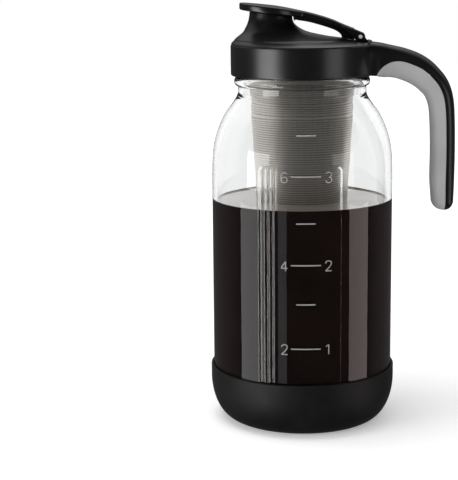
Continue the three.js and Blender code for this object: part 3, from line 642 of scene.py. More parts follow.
def screwRidge(name, wall, crest, foot, crestWidth, start, startTurn, turns, steps=72):
    outward = math.copysign(1, crest - wall)
    edgeShare, edgeOut, edgeIn = screw["edge"]
    count = math.ceil(turns * steps)
    rings = []
    for i in range(count + 1):
        turn = turns * i / count
        rise = (crest - wall) * ease(min(turn, turns - turn), 0, screw["fadeTurn"])
        angle = full * (startTurn + turn)
        height = start + screw["pitch"] * turn
        upper = [
            (wall - outward * screw["root"], foot / 2),
            (wall, foot / 2),
            (wall + rise * edgeShare, crestWidth / 2 + edgeOut),
            (wall + rise, crestWidth / 2 - edgeIn),
        ]
        section = [(radius, -z) for radius, z in upper] + upper[::-1]
        rings.append([polar(radius, angle, height + z) for radius, z in section])
    return skinRings(name, rings)


def jarProfiles():
    radius, neck, wall, lip = jar["radius"], jar["neckRadius"], jar["wall"], jar["lipRound"]
    width, rise, stand = jar["cornerWidth"], jar["cornerHeight"], jar["standHeight"]
    base, neckBase, top = jar["shoulderBase"], jar["neckBase"], jar["top"]
    cornerR = radius - width
    mouth = neck - jar["neckWall"]
    punt = stand + jar["puntHeight"]
    floorTop = punt + jar["floor"]
    outside = [(0, punt), (jar["puntRadius"], punt), (jar["puntRadius"] + jar["puntSlope"], stand)]
    outside += arc(cornerR, stand + rise, width, rise, -90, 0, 16)
    outside += [(radius, height) for height in jar["wallRings"]]
    shoulder = [height for _, height in shoulderLine(radius, neck, base, neckBase, 34)]
    for height in sorted(set(shoulder + spaced(*panel["topRings"]))):
        outside.append((jarRadiusAt(height), height))
    outside += arc(neck, jar["beadHeight"], jar["beadRadius"] - neck, jar["beadWidth"] / 2, -90, 90, 14)
    outside += [(neck, height) for height in jar["neckRings"]]
    outside += fillet(neck - lip, top - lip, lip, 0, 90, 6)
    inside = fillet(mouth + lip, top - lip, lip, 90, 180, 6)
    inside += shoulderLine(radius - wall, mouth, base - wall, neckBase - wall)[::-1]
    inside += arc(cornerR - wall, floorTop + rise - wall, width, rise - wall, 0, -90, 16)
    inside.append((0, floorTop))
    return outside, inside


def makeJar():
    outside, inside = jarProfiles()
    angles = jarAngles()
    rings = []
    for row, (radius, height) in enumerate(outside + inside):
        ring = [polar(radius, angle, height) for angle in angles]
        if row < len(outside) and radius > panel["leastRadius"]:
            for point in ring:
                if point.y < 0:
                    point.y += panelDepth(point.x, height)
        rings.append(ring)
    piece = skinRings("jar", rings, caps=False)
    piece.data.transform(panelTurn)
    ridge = screwRidge("jarRidge", jar["neckRadius"], screw["jarCrest"], screw["jarFoot"],
                       screw["jarCrestWidth"], screw["start"], screw["startTurn"], screw["turns"])
    combine(piece, ridge, "UNION")
    settle(piece, "mouldedGlass", "jar", "glass_jar", 60)


coffee = {
    "level": 145.8,
    "wallSink": 0.06,  # into the glass, whose wall then fills with the brew's colour
    "meniscus": 0.7,
    "meniscusWidth": 1.8,
    "film": 0.08,
    "wallEnd": 1,  # below the level
    "middleRing": 30,
}


# the brew wets the jar's inside up to its level; where it creeps up the glass it is thin and lighter
def makeCoffee():
    _, inside = jarProfiles()
    sink, level, film = coffee["wallSink"], coffee["level"], coffee["film"]
    edge, middle = jar["radius"] - jar["wall"] + sink, coffee["middleRing"]
    wall = [point for point in inside if point[1] < level - coffee["wallEnd"]][::-1]
    profile = [(radius + sink if radius > 0 else 0, height - sink) for radius, height in wall]
    creep = []
    for i in range(9):
        share = i / 8
        creep.append((edge - coffee["meniscusWidth"] * share,
                      level + coffee["meniscus"] * (1 - share) ** 3))
    profile += creep + [(middle, level), (0, level)]
    settle(lathe("coffee", profile, 160), "brewedCoffee", "jar", angle=50)
    # the top of the brew, coloured light as a painted reflection
    top, low, inner = level + film, level + film / 4, creep[-1][0]
    surface = [(0, top), (middle, top), (inner, top), (inner, low), (0, low)]
    settle(lathe("coffeeTopPaintedReflection", surface, 160), "coffeeTopPaintedReflection", "jar", angle=50)
    ring = [(radius - film / 2, height + film / 4) for radius, height in creep]
    ring += [(radius - film, height + film * 2) for radius, height in creep[::-1]]
    settle(lathe("coffeeEdge", ring, 160, loop=True), "coffeeRim", "jar", angle=60)


makeJar()
makeCoffee()
print("jar and coffee made")


# raised scale on the panel, moulded in the glass; the light grey of its marks is a painted highlight

scale = {
    "longMark": 18.6,
    "shortMark": 11.9,
    "thickness": 0.75,
    "proud": 0.12,
    "sink": 0.2,
    "topShare": 0.7,  # of a line's width, flat on top
    "middle": 3.55,
    "longHeights": (168.1, 112.6, 59.1),
    "shortHeights": (193, 138.9, 87.7),
    "digitHeight": 6.2,
    "digitDrop": 0.5,
    "stroke": 0.6,
    "leftDigits": "642",
    "rightDigits": "321",
    "leftPlace": -9.9,
    "rightPlace": 17.5,
    # each digit as one line, in shares of its height from its middle; a doubled point is a corner
    "lines": {
        "1": ((-0.22, 0.3), (-0.22, 0.3), (0.06, 0.5), (0.06, 0.5), (0.06, -0.5), (0.06, -0.5)),
        "2": ((-0.28, 0.26), (-0.24, 0.47), (0.02, 0.54), (0.28, 0.44), (0.3, 0.2), (0.1, -0.12),
              (-0.3, -0.5), (-0.3, -0.5), (0.32, -0.5), (0.32, -0.5)),
        "3": ((-0.27, 0.34), (-0.16, 0.5), (0.1, 0.54), (0.3, 0.36), (0.22, 0.1), (0, 0.02), (0, 0.02),
              (0.28, -0.06), (0.33, -0.34), (0.12, -0.54), (-0.16, -0.52), (-0.3, -0.32)),
        "4": ((0.14, -0.5), (0.14, -0.5), (0.14, 0.5), (0.14, 0.5), (-0.32, -0.2), (-0.32, -0.2),
              (0.34, -0.2), (0.34, -0.2)),
        "6": ((0.24, 0.4), (0.06, 0.54), (-0.2, 0.44), (-0.31, 0.06), (-0.31, -0.3), (-0.12, -0.53),
              (0.16, -0.52), (0.33, -0.3), (0.28, -0.04), (0.04, 0.07), (-0.22, -0.04), (-0.3, -0.2)),
    },
}


# how far forward the glass is at a place of the jar's front
def frontOf(x, z):
    depth = panelDepth(x, z) if z < panel["top"] else 0
    return math.sqrt(jarRadiusAt(z) ** 2 - x * x) - depth


# a raised line of the moulded glass that follows it through points of (x, z); its light grey is a
# painted highlight
def makeStroke(name, points, thickness):
    last = len(points) - 1
    section = ((-1, -scale["sink"]), (-scale["topShare"], scale["proud"]),
               (scale["topShare"], scale["proud"]), (1, -scale["sink"]))
    rings = []
    for i, point in enumerate(points):
        ahead = (points[min(i + 1, last)] - points[max(i - 1, 0)]).normalized()
        over = Vector((-ahead.y, ahead.x))
        sides = [(point + over * (thickness / 2) * share, out) for share, out in section]
        rings.append([Vector((side.x, -frontOf(side.x, side.y) - out, side.y)) for side, out in sides])
    piece = skinRings(name, rings)
    piece.data.transform(panelTurn)
    settle(piece, "markPaintedHighlight", "jar", angle=20)


def makeMark(name, width, height, steps=12):
    start = scale["middle"] - width / 2
    points = [Vector((start + width * i / steps, height)) for i in range(steps + 1)]
    makeStroke(name, points, scale["thickness"])


def makeDigit(name, digit, x, z, nearest=0.02):
    height, middle = scale["digitHeight"], z - scale["digitDrop"]
    points = [Vector((x + a * height, middle + b * height)) for a, b in scale["lines"][digit]]
    # cut its corners three times, and leave out points that fall together
    for _ in range(3):
        finer = [points[0]]
        for here, there in zip(points, points[1:]):
            finer += [here.lerp(there, 0.25), here.lerp(there, 0.75)]
        finer.append(points[-1])
        apart = [there for here, there in zip(finer, finer[1:]) if (there - here).length > nearest]
        points = finer[:1] + apart
    makeStroke(name, points, scale["stroke"])


def makeScale():
    for i, height in enumerate(scale["longHeights"]):
        makeMark(f"longMark{i + 1}", scale["longMark"], height)
        makeDigit(f"leftDigit{i + 1}", scale["leftDigits"][i], scale["leftPlace"], height)
        makeDigit(f"rightDigit{i + 1}", scale["rightDigits"][i], scale["rightPlace"], height)
    for i, height in enumerate(scale["shortHeights"]):
        makeMark(f"shortMark{i + 1}", scale["shortMark"], height)


makeScale()
print("scale printed")


# filter: heights from its seat on the jar's lip

strainer = {
    "seat": 239,
    "flangeRadius": 41.2,
    "flange": 0.9,
    "collarRadius": 35,
    "collarWall": 0.6,
    "collarDrop": 6.8,
    "collarRound": 0.25,  # outside, under the flange
    "bend": 1.1,
    "meshWall": 0.5,
    "meshDrop": 1.6,  # from the flange's top down to the mesh
    "meshRows": 24,
    "sleeveWall": 0.5,
    "sleeveTop": -0.3,
    "sleeveBottom": -6.7,
    "length": 203.3,
    "cupRadius": 24,
    "cupWall": 0.6,
    "cupHeight": 5.9,
    "cupBend": 1.2,
    "cupRing": 3,  # the flat next to the bend
    "cupCorner": 0.4,
    "gap": 0.05,  # between mesh, collar, sleeve and cup
    "seamWidth": 4,
    "seamThickness": 0.9,
    "seamSlope": 0.3,
    "seamShares": (0.012, 0.976),  # of the slope: where the seam starts, and its length
}


def latheFilter(name, profile, loop=True):
    return lathe(name, [(radius, strainer["seat"] + height) for radius, height in profile], loop=loop)


def makeFilterRim():
    outer, drop, out = strainer["collarRadius"], strainer["collarDrop"], strainer["collarRound"]
    thick, bend = strainer["flange"], strainer["bend"]
    inner, roll = outer - strainer["collarWall"], thick / 2
    profile = [(inner, -drop), (outer, -drop), (outer, -out), (outer + out, 0)]
    profile += fillet(strainer["flangeRadius"] - roll, roll, roll, -90, 90, 10)
    profile += fillet(inner + bend, thick - bend, bend, 90, 180, 8)
    settle(latheFilter("filterRim", profile), "polishedSteel", "filter", "filter_rim")


def makeFilterSleeve():
    gap, wall = strainer["gap"], strainer["sleeveWall"]
    outer = strainer["collarRadius"] - strainer["collarWall"] - strainer["meshWall"] - 2 * gap
    inner, half = outer - wall, wall / 2
    profile = fillet(outer - half, strainer["sleeveBottom"] + half, half, -180, 0, 6)
    profile += fillet(inner + half, strainer["sleeveTop"] - half, half, 0, 180, 6)
    piece = latheFilter("filterSleeve", profile)
    settle(piece, "polishedSteel", "filter", "filter_sleeve")


def makeFilterMesh():
    wall, gap = strainer["meshWall"], strainer["gap"]
    topR = strainer["collarRadius"] - strainer["collarWall"] - gap
    lowR = strainer["cupRadius"] - strainer["cupWall"] - gap
    low = strainer["flange"] - strainer["length"]
    line = [
        (lowR, low + strainer["cupWall"] + gap),
        (lowR, low + strainer["cupHeight"] + strainer["cupBend"]),
        (topR, -strainer["collarDrop"] - strainer["bend"]),
        (topR, strainer["flange"] - strainer["meshDrop"]),
    ]
    fine = []
    for start, end in zip(line, line[1:]):
        parts = strainer["meshRows"] if start[0] != end[0] else 2
        for i in range(parts):
            fine.append((mix(start[0], end[0], i / parts), mix(start[1], end[1], i / parts)))
    fine.append(line[-1])
    piece = latheFilter("filterMesh", fine + [(radius - wall, height) for radius, height in fine[::-1]])
    # the lap seam down the back is a thin strip that follows the slope
    half, thick, slope = strainer["seamWidth"] / 2, strainer["seamThickness"] / 2, strainer["seamSlope"]
    seamStart, seamLength = strainer["seamShares"]
    strip = []
    steps = 10
    for i in range(steps + 1):
        share = seamStart + seamLength * i / steps
        radius = mix(lowR, topR, share) - wall / 2
        height = mix(line[1][1], line[2][1], share) + strainer["seat"]
        section = ((-half, -1), (-half + slope, 1), (half - slope, 1), (half, -1))
        strip.append([Vector((x, radius + out * thick, height)) for x, out in section])
    combine(piece, skinRings("filterSeam", strip), "UNION")
    settle(piece, "wovenSteel", "filter", "filter_mesh")


def makeFilterCup():
    low = strainer["flange"] - strainer["length"]
    radius, bend, wall = strainer["cupRadius"], strainer["cupBend"], strainer["cupWall"]
    inner, corner = radius - wall, strainer["cupCorner"]
    profile = [(0, low), (radius - bend - strainer["cupRing"], low)]
    profile += fillet(radius - bend, low + bend, bend, -90, 0, 8)
    profile += fillet(radius - wall / 2, low + strainer["cupHeight"] - wall / 2, wall / 2, 0, 180, 6)
    profile += [(inner, low + wall + corner), (inner - corner, low + wall), (0, low + wall)]
    piece = latheFilter("filterCup", profile, loop=False)
    settle(piece, "polishedSteel", "filter", "filter_cup")


makeFilterRim()
makeFilterSleeve()
makeFilterMesh()
makeFilterCup()
print("filter made")


# lid

lid = {
    "radius": 45.8,
    "base": 225.85,
    "crease": 245.45,
    "baseRound": 1.2,
    "creaseRound": 0.7,
    "creaseArc": 62,  # degrees of that round
    "creaseRow": (0.018, 0.985),  # the dome's first row, where the round ends
    "skirtWall": 2.3,
    "skirtMargin": 2,
    "chamfer": 0.6,
    "ceiling": 242.95,
    "ceilingRadius": 37,
    "ceilingBevel": 0.8,
    "rootSink": 1.1,  # of the handle into the skirt
    "spoutX": -19.85,
    "spoutRadius": 13.65,
    "spoutWall": 1.8,
    "spoutTop": 264.85,
    "rimSlope": 0.12,
    "rimRound": 0.5,
    # shares: height to the rim, radius left to lose, way across to the spout, tilt
    "dome": (
        (0.02, 1, 0, 0), (0.095, 0.836, 0.2, 0), (0.143, 0.705, 0.355, 0), (0.169, 0.69, 0.372, 0),
        (0.24, 0.51, 0.59, 0), (0.38, 0.262, 0.809, 0.05), (0.49, 0.153, 0.909, 0.12),
        (0.634, 0.07, 0.965, 0.35), (0.76, 0.025, 0.99, 0.65), (0.88, 0.006, 1, 0.88),
    ),
    "stepRow": 3,  # the dome's row above the small step
}

hinge = {
    "x": 37,
    "z": 250.25,
    "pin": 1.25,
    "pinProud": 0.15,
    "pinPlay": 0.08,
    "pinFit": 0.05,  # in the knuckles
    "pinRound": 0.2,
    "width": 16,
    "knuckleWidth": 3.6,
    "knuckleRadius": 3.05,
    "knuckleArc": (36, -126),  # degrees
    "knuckleRound": 0.3,
    "lugRadius": 2.4,
    "lugArc": (180, 45),
    "lugHeel": (4.7, 2.75),  # back and down from the pin
    "lugToe": 9.4,
    "lugSink": 1.4,
    "lugRound": 0.25,
    "gap": 0.35,
}

handle = {
    "reach": 52.45,
    "drop": 108,
    "width": 25,
    "back": 6.3,
    "grip": 9.3,
    "seamGap": 0.1,
    "backPower": 2.8,
    "gripPower": 3,
    "gripEdge": 0.6,
    "endRound": 7,
    # shares: out, down, thickness of the back, of the grip, width, squareness of the back
    "line": (
        (-0.244, -0.019, 3.42, 0, 1.7, 2.2), (-0.13, -0.0165, 3.36, 0, 1.42, 2.2),
        (-0.06, -0.0125, 3.3, 0, 1.29, 2.2), (0.01, -0.008, 3.22, 0, 1.22, 2.15),
        (0.09, -0.003, 3.12, 0.1, 1.17, 2), (0.13, 0.001, 2.52, 0.54, 1.15, 1.85),
        (0.19, 0.0075, 1.84, 0.98, 1.12, 1.6), (0.27, 0.0155, 1.43, 1.17, 1.08, 1.35),
        (0.374, 0.027, 1.26, 1.26, 1.03, 1.12), (0.5425, 0.0565, 1.22, 1.29, 1, 1),
        (0.677, 0.095, 1.16, 1.3, 1, 1), (0.803, 0.152, 1.13, 1.24, 1, 1),
        (0.898, 0.214, 1.1, 1.19, 1, 1), (0.957, 0.289, 1.05, 1.12, 1, 1),
        (0.985, 0.382, 1.015, 1.04, 1, 1), (1, 0.605, 1, 1, 1, 1),
        (0.998, 0.814, 1, 0.99, 1, 1), (0.992, 0.932, 0.93, 0.9, 0.98, 1),
    ),
}


# the dome's shares as finely spaced rows: a smooth fillet above and below the small step
def domeRows(parts):
    low, high = lid["dome"][:lid["stepRow"]], lid["dome"][lid["stepRow"]:]
    result = []
    for part, count in ((low, parts), (high, parts * 2)):
        places = [(i, *row) for i, row in enumerate(part)]
        for i in range(count + 1):
            place = (len(part) - 1) * i / count
            result.append([along(places, place, column) for column in (1, 2, 3, 4)])
    return result


def domeRings(bottom, bottomRadius, topRadius, rows, steps):
    rings = []
    for height, radius, offset, tilt in rows:
        rings.append(circleAt(lid["spoutX"] * offset, mix(topRadius, bottomRadius, radius),
                              mix(bottom, lid["spoutTop"], height), lid["rimSlope"] * tilt, steps))
    return rings


# height of the lid's top on the hinge's side, along the middle line
def lidTopAt(x):
    line = []
    for height, radius, offset, _ in lid["dome"]:
        place = lid["spoutX"] * offset + mix(lid["spoutRadius"], lid["radius"], radius)
        line.append((place, mix(lid["crease"], lid["spoutTop"], height)))
    for (x0, z0), (x1, z1) in zip(line, line[1:]):
        if x1 < x <= x0:
            return z0 + (z1 - z0) * (x - x0) / (x1 - x0)
    return line[0][1]


# stations down the handle: the seam between back and grip, the way out, and the sizes there
def handleStations(steps=88, endSteps=8, least=0.001):
    line = handle["line"]
    corners = [(lid["radius"] + handle["reach"] * row[0], lid["crease"] - handle["drop"] * row[1])
               for row in line]
    lengths = [0]
    for here, there in zip(corners, corners[1:]):
        lengths.append(lengths[-1] + math.dist(here, there))
    rows = [(length, *place, *row[2:]) for length, place, row in zip(lengths, corners, line)]
    nudge = lengths[-1] / 400
    stations = []
    for i in range(steps + 1):
        place = lengths[-1] * i / steps
        x, z, back, grip, width, square = [along(rows, place, column) for column in range(1, 7)]
        behind, ahead = [Vector((along(rows, near, 1), 0, along(rows, near, 2)))
                         for near in (place - nudge, place + nudge)]
        down = (ahead - behind).normalized()
        outward = Vector((-down.z, 0, down.x))
        back *= handle["back"]
        stations.append({
            "down": down,
            "outward": outward,
            "seam": Vector((x, 0, z)) - outward * back,
            "back": back,
            "grip": max(grip, least) * handle["grip"],
            "half": width * handle["width"] / 2,
            "power": square * handle["backPower"],
        })
    end = stations[-1]
    for i in range(1, endSteps + 1):
        angle = math.pi / 2 * i / endSteps
        left = max(math.cos(angle), least)
        stations.append({
            **end,
            "seam": end["seam"] + end["down"] * handle["endRound"] * math.sin(angle),
            "back": end["back"] * left,
            "grip": end["grip"] * left,
            "half": end["half"] * left,
        })
    return stations


def halfSection(station, base, depth, power, steps=28):
    ring = []
    for i in range(steps + 1):
        angle = math.pi * i / steps
        side = math.copysign(abs(math.cos(angle)) ** (2 / power), math.cos(angle))
        over = max(math.sin(angle), 0) ** (2 / power)
        point = station["seam"] + station["outward"] * (base + depth * over)
        ring.append(point + Vector((0, station["half"] * side, 0)))
    return ring


def makeLid(stations, steps=144):
    radius, base, crease, ceiling = lid["radius"], lid["base"], lid["crease"], lid["ceiling"]
    low, high, rim, margin = lid["baseRound"], lid["creaseRound"], lid["rimRound"], lid["skirtMargin"]
    bore = lid["spoutRadius"] - lid["spoutWall"]
    inner, bevel, chamfer = radius - lid["skirtWall"], lid["ceilingBevel"], lid["chamfer"]
    outer = fillet(radius - low, base + low, low, -90, 0, 6)
    outer += [(radius, mix(base + margin, crease - margin, i / 5)) for i in range(6)]
    outer += fillet(radius - high, crease - high, high, 0, lid["creaseArc"], 5)
    rings = [circleAt(0, out, height, steps=steps) for out, height in outer]
    rows = domeRows(6)
    rows[0][:2] = lid["creaseRow"]
    rings += domeRings(crease, radius, lid["spoutRadius"], rows, steps)
    rimLine = fillet(lid["spoutRadius"] - rim, -rim, rim, 0, 90, 4)
    for out, height in rimLine + fillet(bore + rim, -rim, rim, 90, 180, 4):
        rings.append(circleAt(lid["spoutX"], out, lid["spoutTop"] + height, lid["rimSlope"], steps))
    rings += domeRings(ceiling, lid["ceilingRadius"], bore, domeRows(4)[1:], steps)[::-1]
    under = [(lid["ceilingRadius"], ceiling), (inner - bevel, ceiling), (inner, ceiling - bevel),
             (inner, base + chamfer), (inner + chamfer, base)]
    rings += [circleAt(0, out, height, steps=steps) for out, height in under]
    piece = skinRings("pouringLid", rings, loop=True)
    # the handle's root follows the skirt, so that it ends inside the wall
    back = [halfSection(station, 0, station["back"], station["power"]) for station in stations]
    for ring in back:
        for point in ring:
            least = math.sqrt(max((radius - lid["rootSink"]) ** 2 - point.y**2, 0))
            point.x = max(point.x, least)
    combine(piece, skinRings("handleBack", back), "UNION")
    x, z, width, gap = hinge["x"], hinge["z"], hinge["width"], hinge["gap"]
    relief = crossBar("relief", hinge["knuckleRadius"] + gap, width + 2 * gap, x, z)
    combine(piece, relief, "DIFFERENCE")
    combine(piece, makeLug(), "UNION")
    combine(piece, crossBar("pinHole", hinge["pin"] + hinge["pinPlay"], width, x, z), "DIFFERENCE")
    ridge = screwRidge("lidRidge", inner, screw["lidCrest"], screw["lidFoot"], screw["lidCrestWidth"],
                       screw["start"] + screw["pitch"] * screw["lidStartTurn"] - screw["spacing"],
                       screw["startTurn"] + screw["lidStartTurn"], screw["lidTurns"])
    combine(piece, ridge, "UNION")
    settle(piece, "satinPlastic", "lid", "pouring_lid", 38)


def makeLug():
    x, z, radius = hinge["x"], hinge["z"], hinge["lugRadius"]
    back, drop = hinge["lugHeel"]
    floor = lidTopAt(x) - hinge["lugSink"]
    outline = [(x - radius, floor)] + fillet(x, z, radius, *hinge["lugArc"], 16)
    outline += [(x + back, z - drop), (x + hinge["lugToe"], floor)]
    lug = plate("lug", outline, hinge["width"] - 2 * hinge["knuckleWidth"] - 2 * hinge["gap"])
    roundEdges(lug, hinge["lugRound"])
    return lug


def makeGrip(stations):
    first = next(i for i, station in enumerate(stations) if station["grip"] > handle["gripEdge"])
    rings = [halfSection(station, -handle["seamGap"], -station["grip"], handle["gripPower"])
             for station in stations[first:]]
    settle(skinRings("handleGrip", rings), "gripRubber", "lid", "handle_grip", 50)


gasket = {"outer": 43.15, "width": 5.8, "low": 240.6, "thickness": 2, "ridge": 0.35, "ridgeWidth": 1.4,
          "edgeRound": 0.35}


def makeGasket():
    outer, inner = gasket["outer"], gasket["outer"] - gasket["width"]
    middle, low, high = (outer + inner) / 2, gasket["low"], gasket["low"] + gasket["thickness"]
    soft = gasket["edgeRound"]
    profile = fillet(inner + soft, low + soft, soft, 180, 270, 4)
    for i in range(9):
        across = -1 + i / 4
        profile.append((middle + across * gasket["ridgeWidth"] / 2,
                        low - gasket["ridge"] * math.cos(across * math.pi / 2)))
    profile += fillet(outer - soft, low + soft, soft, -90, 0, 4)
    profile += fillet(outer - soft, high - soft, soft, 0, 90, 4)
    profile += fillet(inner + soft, high - soft, soft, 90, 180, 4)
    piece = lathe("lidGasket", profile, loop=True)
    settle(piece, "sealSilicone", "gasket", "lid_gasket", 50)


handleLine = handleStations()
makeLid(handleLine)
makeGrip(handleLine)
makeGasket()
print("lid made")


# spout cap: sizes from the hinge pin's axis

cap = {
    "headRadius": 20.4,
    "headX": -56.6,
    "headThickness": 4.4,
    "armThickness": 3.3,
    "armWidth": 15.5,
    "edgeRound": 1,
    "crown": 0.35,
    "rimGap": 0.4,
    "endGap": 3.5,
    "ribWidth": 6,
    "ribDepth": 2.45,
    "ribCorner": 1.6,
    "ribCornerIn": 2,  # from the rib's end to that round's middle
    "ribGap": 0.6,
    "ribRound": 0.4,
    "footFront": 11.7,
    "footBack": 3.7,
    "footGap": 0.3,
    "footRound": 5,
    "cheekDrop": 0.4,
    "blend": 6,
    "seatRadius": 13.5,
    "seatHeight": 1.75,
    "seatReach": -2,  # down past the underside
    # underside of the arm: share of the length, share of the fall left
    "arm": ((0, 1), (0.228, 0.887), (0.451, 0.69), (0.614, 0.508), (0.716, 0.36), (0.877, 0.15),
            (1, 0.02)),
}
spoutFromPin = lid["spoutX"] - hinge["x"]
armStart = spoutFromPin + lid["spoutRadius"]


def capUnder(x):
    def overRim(place):
        return lid["spoutTop"] - lid["rimSlope"] * (place - spoutFromPin) + cap["rimGap"] - hinge["z"]

    if x <= armStart:
        return overRim(x)
    return overRim(armStart) * along(cap["arm"], (x - armStart) / -armStart)


def capTop(x):
    share = ease(x, spoutFromPin, armStart + lid["spoutRadius"])
    return capUnder(x) + mix(cap["headThickness"], cap["armThickness"], share)


def capHalfWidth(x):
    head = math.sqrt(max(0, cap["headRadius"] ** 2 - (x - cap["headX"]) ** 2))
    arm = cap["armWidth"] / 2 if x > cap["headX"] else 0
    return (head ** cap["blend"] + arm ** cap["blend"]) ** (1 / cap["blend"])


def capPlate(headSteps=28, armSteps=44):
    end, edge = -cap["endGap"], cap["edgeRound"]
    places = [cap["headX"] - cap["headRadius"] * math.cos(math.pi / 2 * i / headSteps)
              for i in range(headSteps)]
    places += [mix(cap["headX"], end, i / armSteps) for i in range(armSteps + 1)]
    side = [Vector((x, capHalfWidth(x))) for x in places]
    outline = side + [Vector((point.x, -point.y)) for point in side[:0:-1]]

    # the outline on the cap's upper or lower side, drawn in by a width and by a share of what is left
    def level(surface, rise, inward, share):
        ring = []
        for point in outline:
            heart = Vector((min(max(point.x, cap["headX"]), end - edge), 0))
            drawn = point - heart
            length = drawn.length
            if length:
                drawn *= max(0, length - inward - length * share) / length
            drawn += heart
            ring.append(Vector((drawn.x, drawn.y, surface(drawn.x) + rise)))
        return ring

    angles = spaced(0, math.pi / 8, 5)
    rings = [level(capUnder, 0, 0, 1), level(capUnder, 0, 0, 0.5)]
    rings += [level(capUnder, edge * (1 - math.cos(a)), edge * (1 - math.sin(a)), 0) for a in angles]
    rings += [level(capTop, -edge * (1 - math.sin(a)), edge * (1 - math.cos(a)), 0) for a in angles]
    for share in (0.3, 0.6, 0.85, 1):
        rings.append(level(capTop, cap["crown"] * math.sin(math.pi / 2 * share), 0, share))
    return skinRings("spoutCap", rings, caps=False)


def capRib(steps=20, footSteps=6):
    depth, thick, bend = cap["ribDepth"], cap["armThickness"], cap["ribCorner"]
    start, front, back = armStart + cap["ribGap"], -cap["footFront"], -cap["footBack"]
    floor, backFloor = [lidTopAt(hinge["x"] + x) + cap["footGap"] - hinge["z"] for x in (front, back)]
    curveEnd = front - cap["footRound"]
    outline = []
    for i in range(steps + 1):
        x = mix(start, back, i / steps)
        outline.append((x, capUnder(x) + thick / 2))
    outline += [(back, backFloor), (front, floor)]
    knee = capUnder(front) - depth
    for i in range(1, footSteps + 1):
        t = i / footSteps
        x = (1 - t * t) * front + t * t * curveEnd
        z = (1 - t) ** 2 * floor + 2 * t * (1 - t) * knee + t * t * (capUnder(curveEnd) - depth)
        outline.append((x, z))
    for i in range(steps - 1, 1, -1):
        x = mix(start, curveEnd, i / steps)
        outline.append((x, capUnder(x) - depth))
    # beside the spout the rib's end is drawn down in a small round
    low = capUnder(start) - depth
    outline += fillet(start + cap["ribCornerIn"], low - bend, bend, 90, 160, 5)
    outline += [(start, low + depth / 2)]
    rib = plate("capRib", outline, cap["ribWidth"])
    roundEdges(rib, cap["ribRound"], angle=50)
    return rib


def capKnuckle(side):
    radius, width = hinge["knuckleRadius"], hinge["knuckleWidth"]
    start, end = -cap["footFront"], -cap["endGap"]
    outline = [(start, capUnder(start) + cap["armThickness"] / 2)]
    outline += [(x, capTop(x) - cap["cheekDrop"]) for x in (start, end)]
    outline += fillet(0, 0, radius, *hinge["knuckleArc"], 24)
    outline.append((end, -radius / 2))
    knuckle = plate("capKnuckle", outline, width, side * (hinge["width"] - width) / 2)
    roundEdges(knuckle, hinge["knuckleRound"], angle=40)
    return knuckle


# from the pin's axis to the part's frame, and from the middle of the spout's sloping rim
atPin = Matrix.Translation(Vector((hinge["x"], 0, hinge["z"])) * mm)
atRim = atPin @ Matrix.Translation(Vector((spoutFromPin, 0, lid["spoutTop"] - hinge["z"])) * mm)
atRim = atRim @ Matrix.Rotation(math.atan(lid["rimSlope"]), 4, "Y")


def makeCap():
    piece = capPlate()
    for extra in (capRib(), capKnuckle(-1), capKnuckle(1)):
        combine(piece, extra, "UNION")
    radius, high, low = cap["seatRadius"], cap["seatHeight"], cap["seatReach"]
    seat = lathe("capSeat", [(0, high), (radius, high), (radius, low), (0, low)], 96)
    seat.data.transform(atPin.inverted() @ atRim)
    combine(piece, seat, "DIFFERENCE")
    hole = crossBar("capPinHole", hinge["pin"] + hinge["pinFit"], hinge["width"] + 2, 0, 0)
    combine(piece, hole, "DIFFERENCE")
    piece.data.transform(atPin)
    settle(piece, "satinPlastic", "cap", "flip_cap", 38)


def makePin():
    half, soft = hinge["width"] / 2 + hinge["pinProud"], hinge["pinRound"]
    profile = [(0, -half)] + fillet(hinge["pin"] - soft, -half + soft, soft, -90, 0, 4)
    profile += fillet(hinge["pin"] - soft, half - soft, soft, 0, 90, 4) + [(0, half)]
    piece = lathe("hingePin", profile, 48)
    piece.data.transform(atPin @ Matrix.Rotation(math.pi / 2, 4, "X"))
    settle(piece, "pinPaintedGlint", "cap", "hinge_pin")


plug = {
    "flange": 13.2,
    "flangeThickness": 1.3,
    "edgeRound": 0.35,
    "rimGap": 0.15,
    "depth": 4.6,
    "topRadius": 11.15,
    "bottomRadius": 9.2,
    "bottomRound": 1.4,
    "ribProud": 0.2,
    "ribHeight": 1.2,
    "hollowRadius": 7,
    "hollowDepth": 2.6,
    "hollowDraft": 0.3,
}


def makePlug():
    low, soft, end = plug["rimGap"], plug["edgeRound"], plug["bottomRound"]
    top, edge = low + plug["flangeThickness"], plug["flange"] - soft
    profile = [(0, top)] + fillet(edge, top - soft, soft, 90, 0, 4)
    profile += fillet(edge, low + soft, soft, 0, -90, 4)
    profile.append((plug["topRadius"], low))
    for i in range(9):
        share = i / 8
        profile.append((plug["topRadius"] + plug["ribProud"] * math.sin(math.pi * share),
                        -plug["ribHeight"] * share))
    profile += fillet(plug["bottomRadius"] - end, end - plug["depth"], end, 0, -90, 6)
    hollow, roof = plug["hollowRadius"], plug["hollowDepth"] - plug["depth"]
    profile += [(hollow, -plug["depth"]), (hollow - plug["hollowDraft"], roof), (0, roof)]
    piece = lathe("spoutPlug", profile, 96)
    piece.data.transform(atRim)
    settle(piece, "plugSilicone", "cap", "spout_plug")


makeCap()
makePin()
makePlug()
print("cap, pin and plug made")


# floor, lamps and surroundings

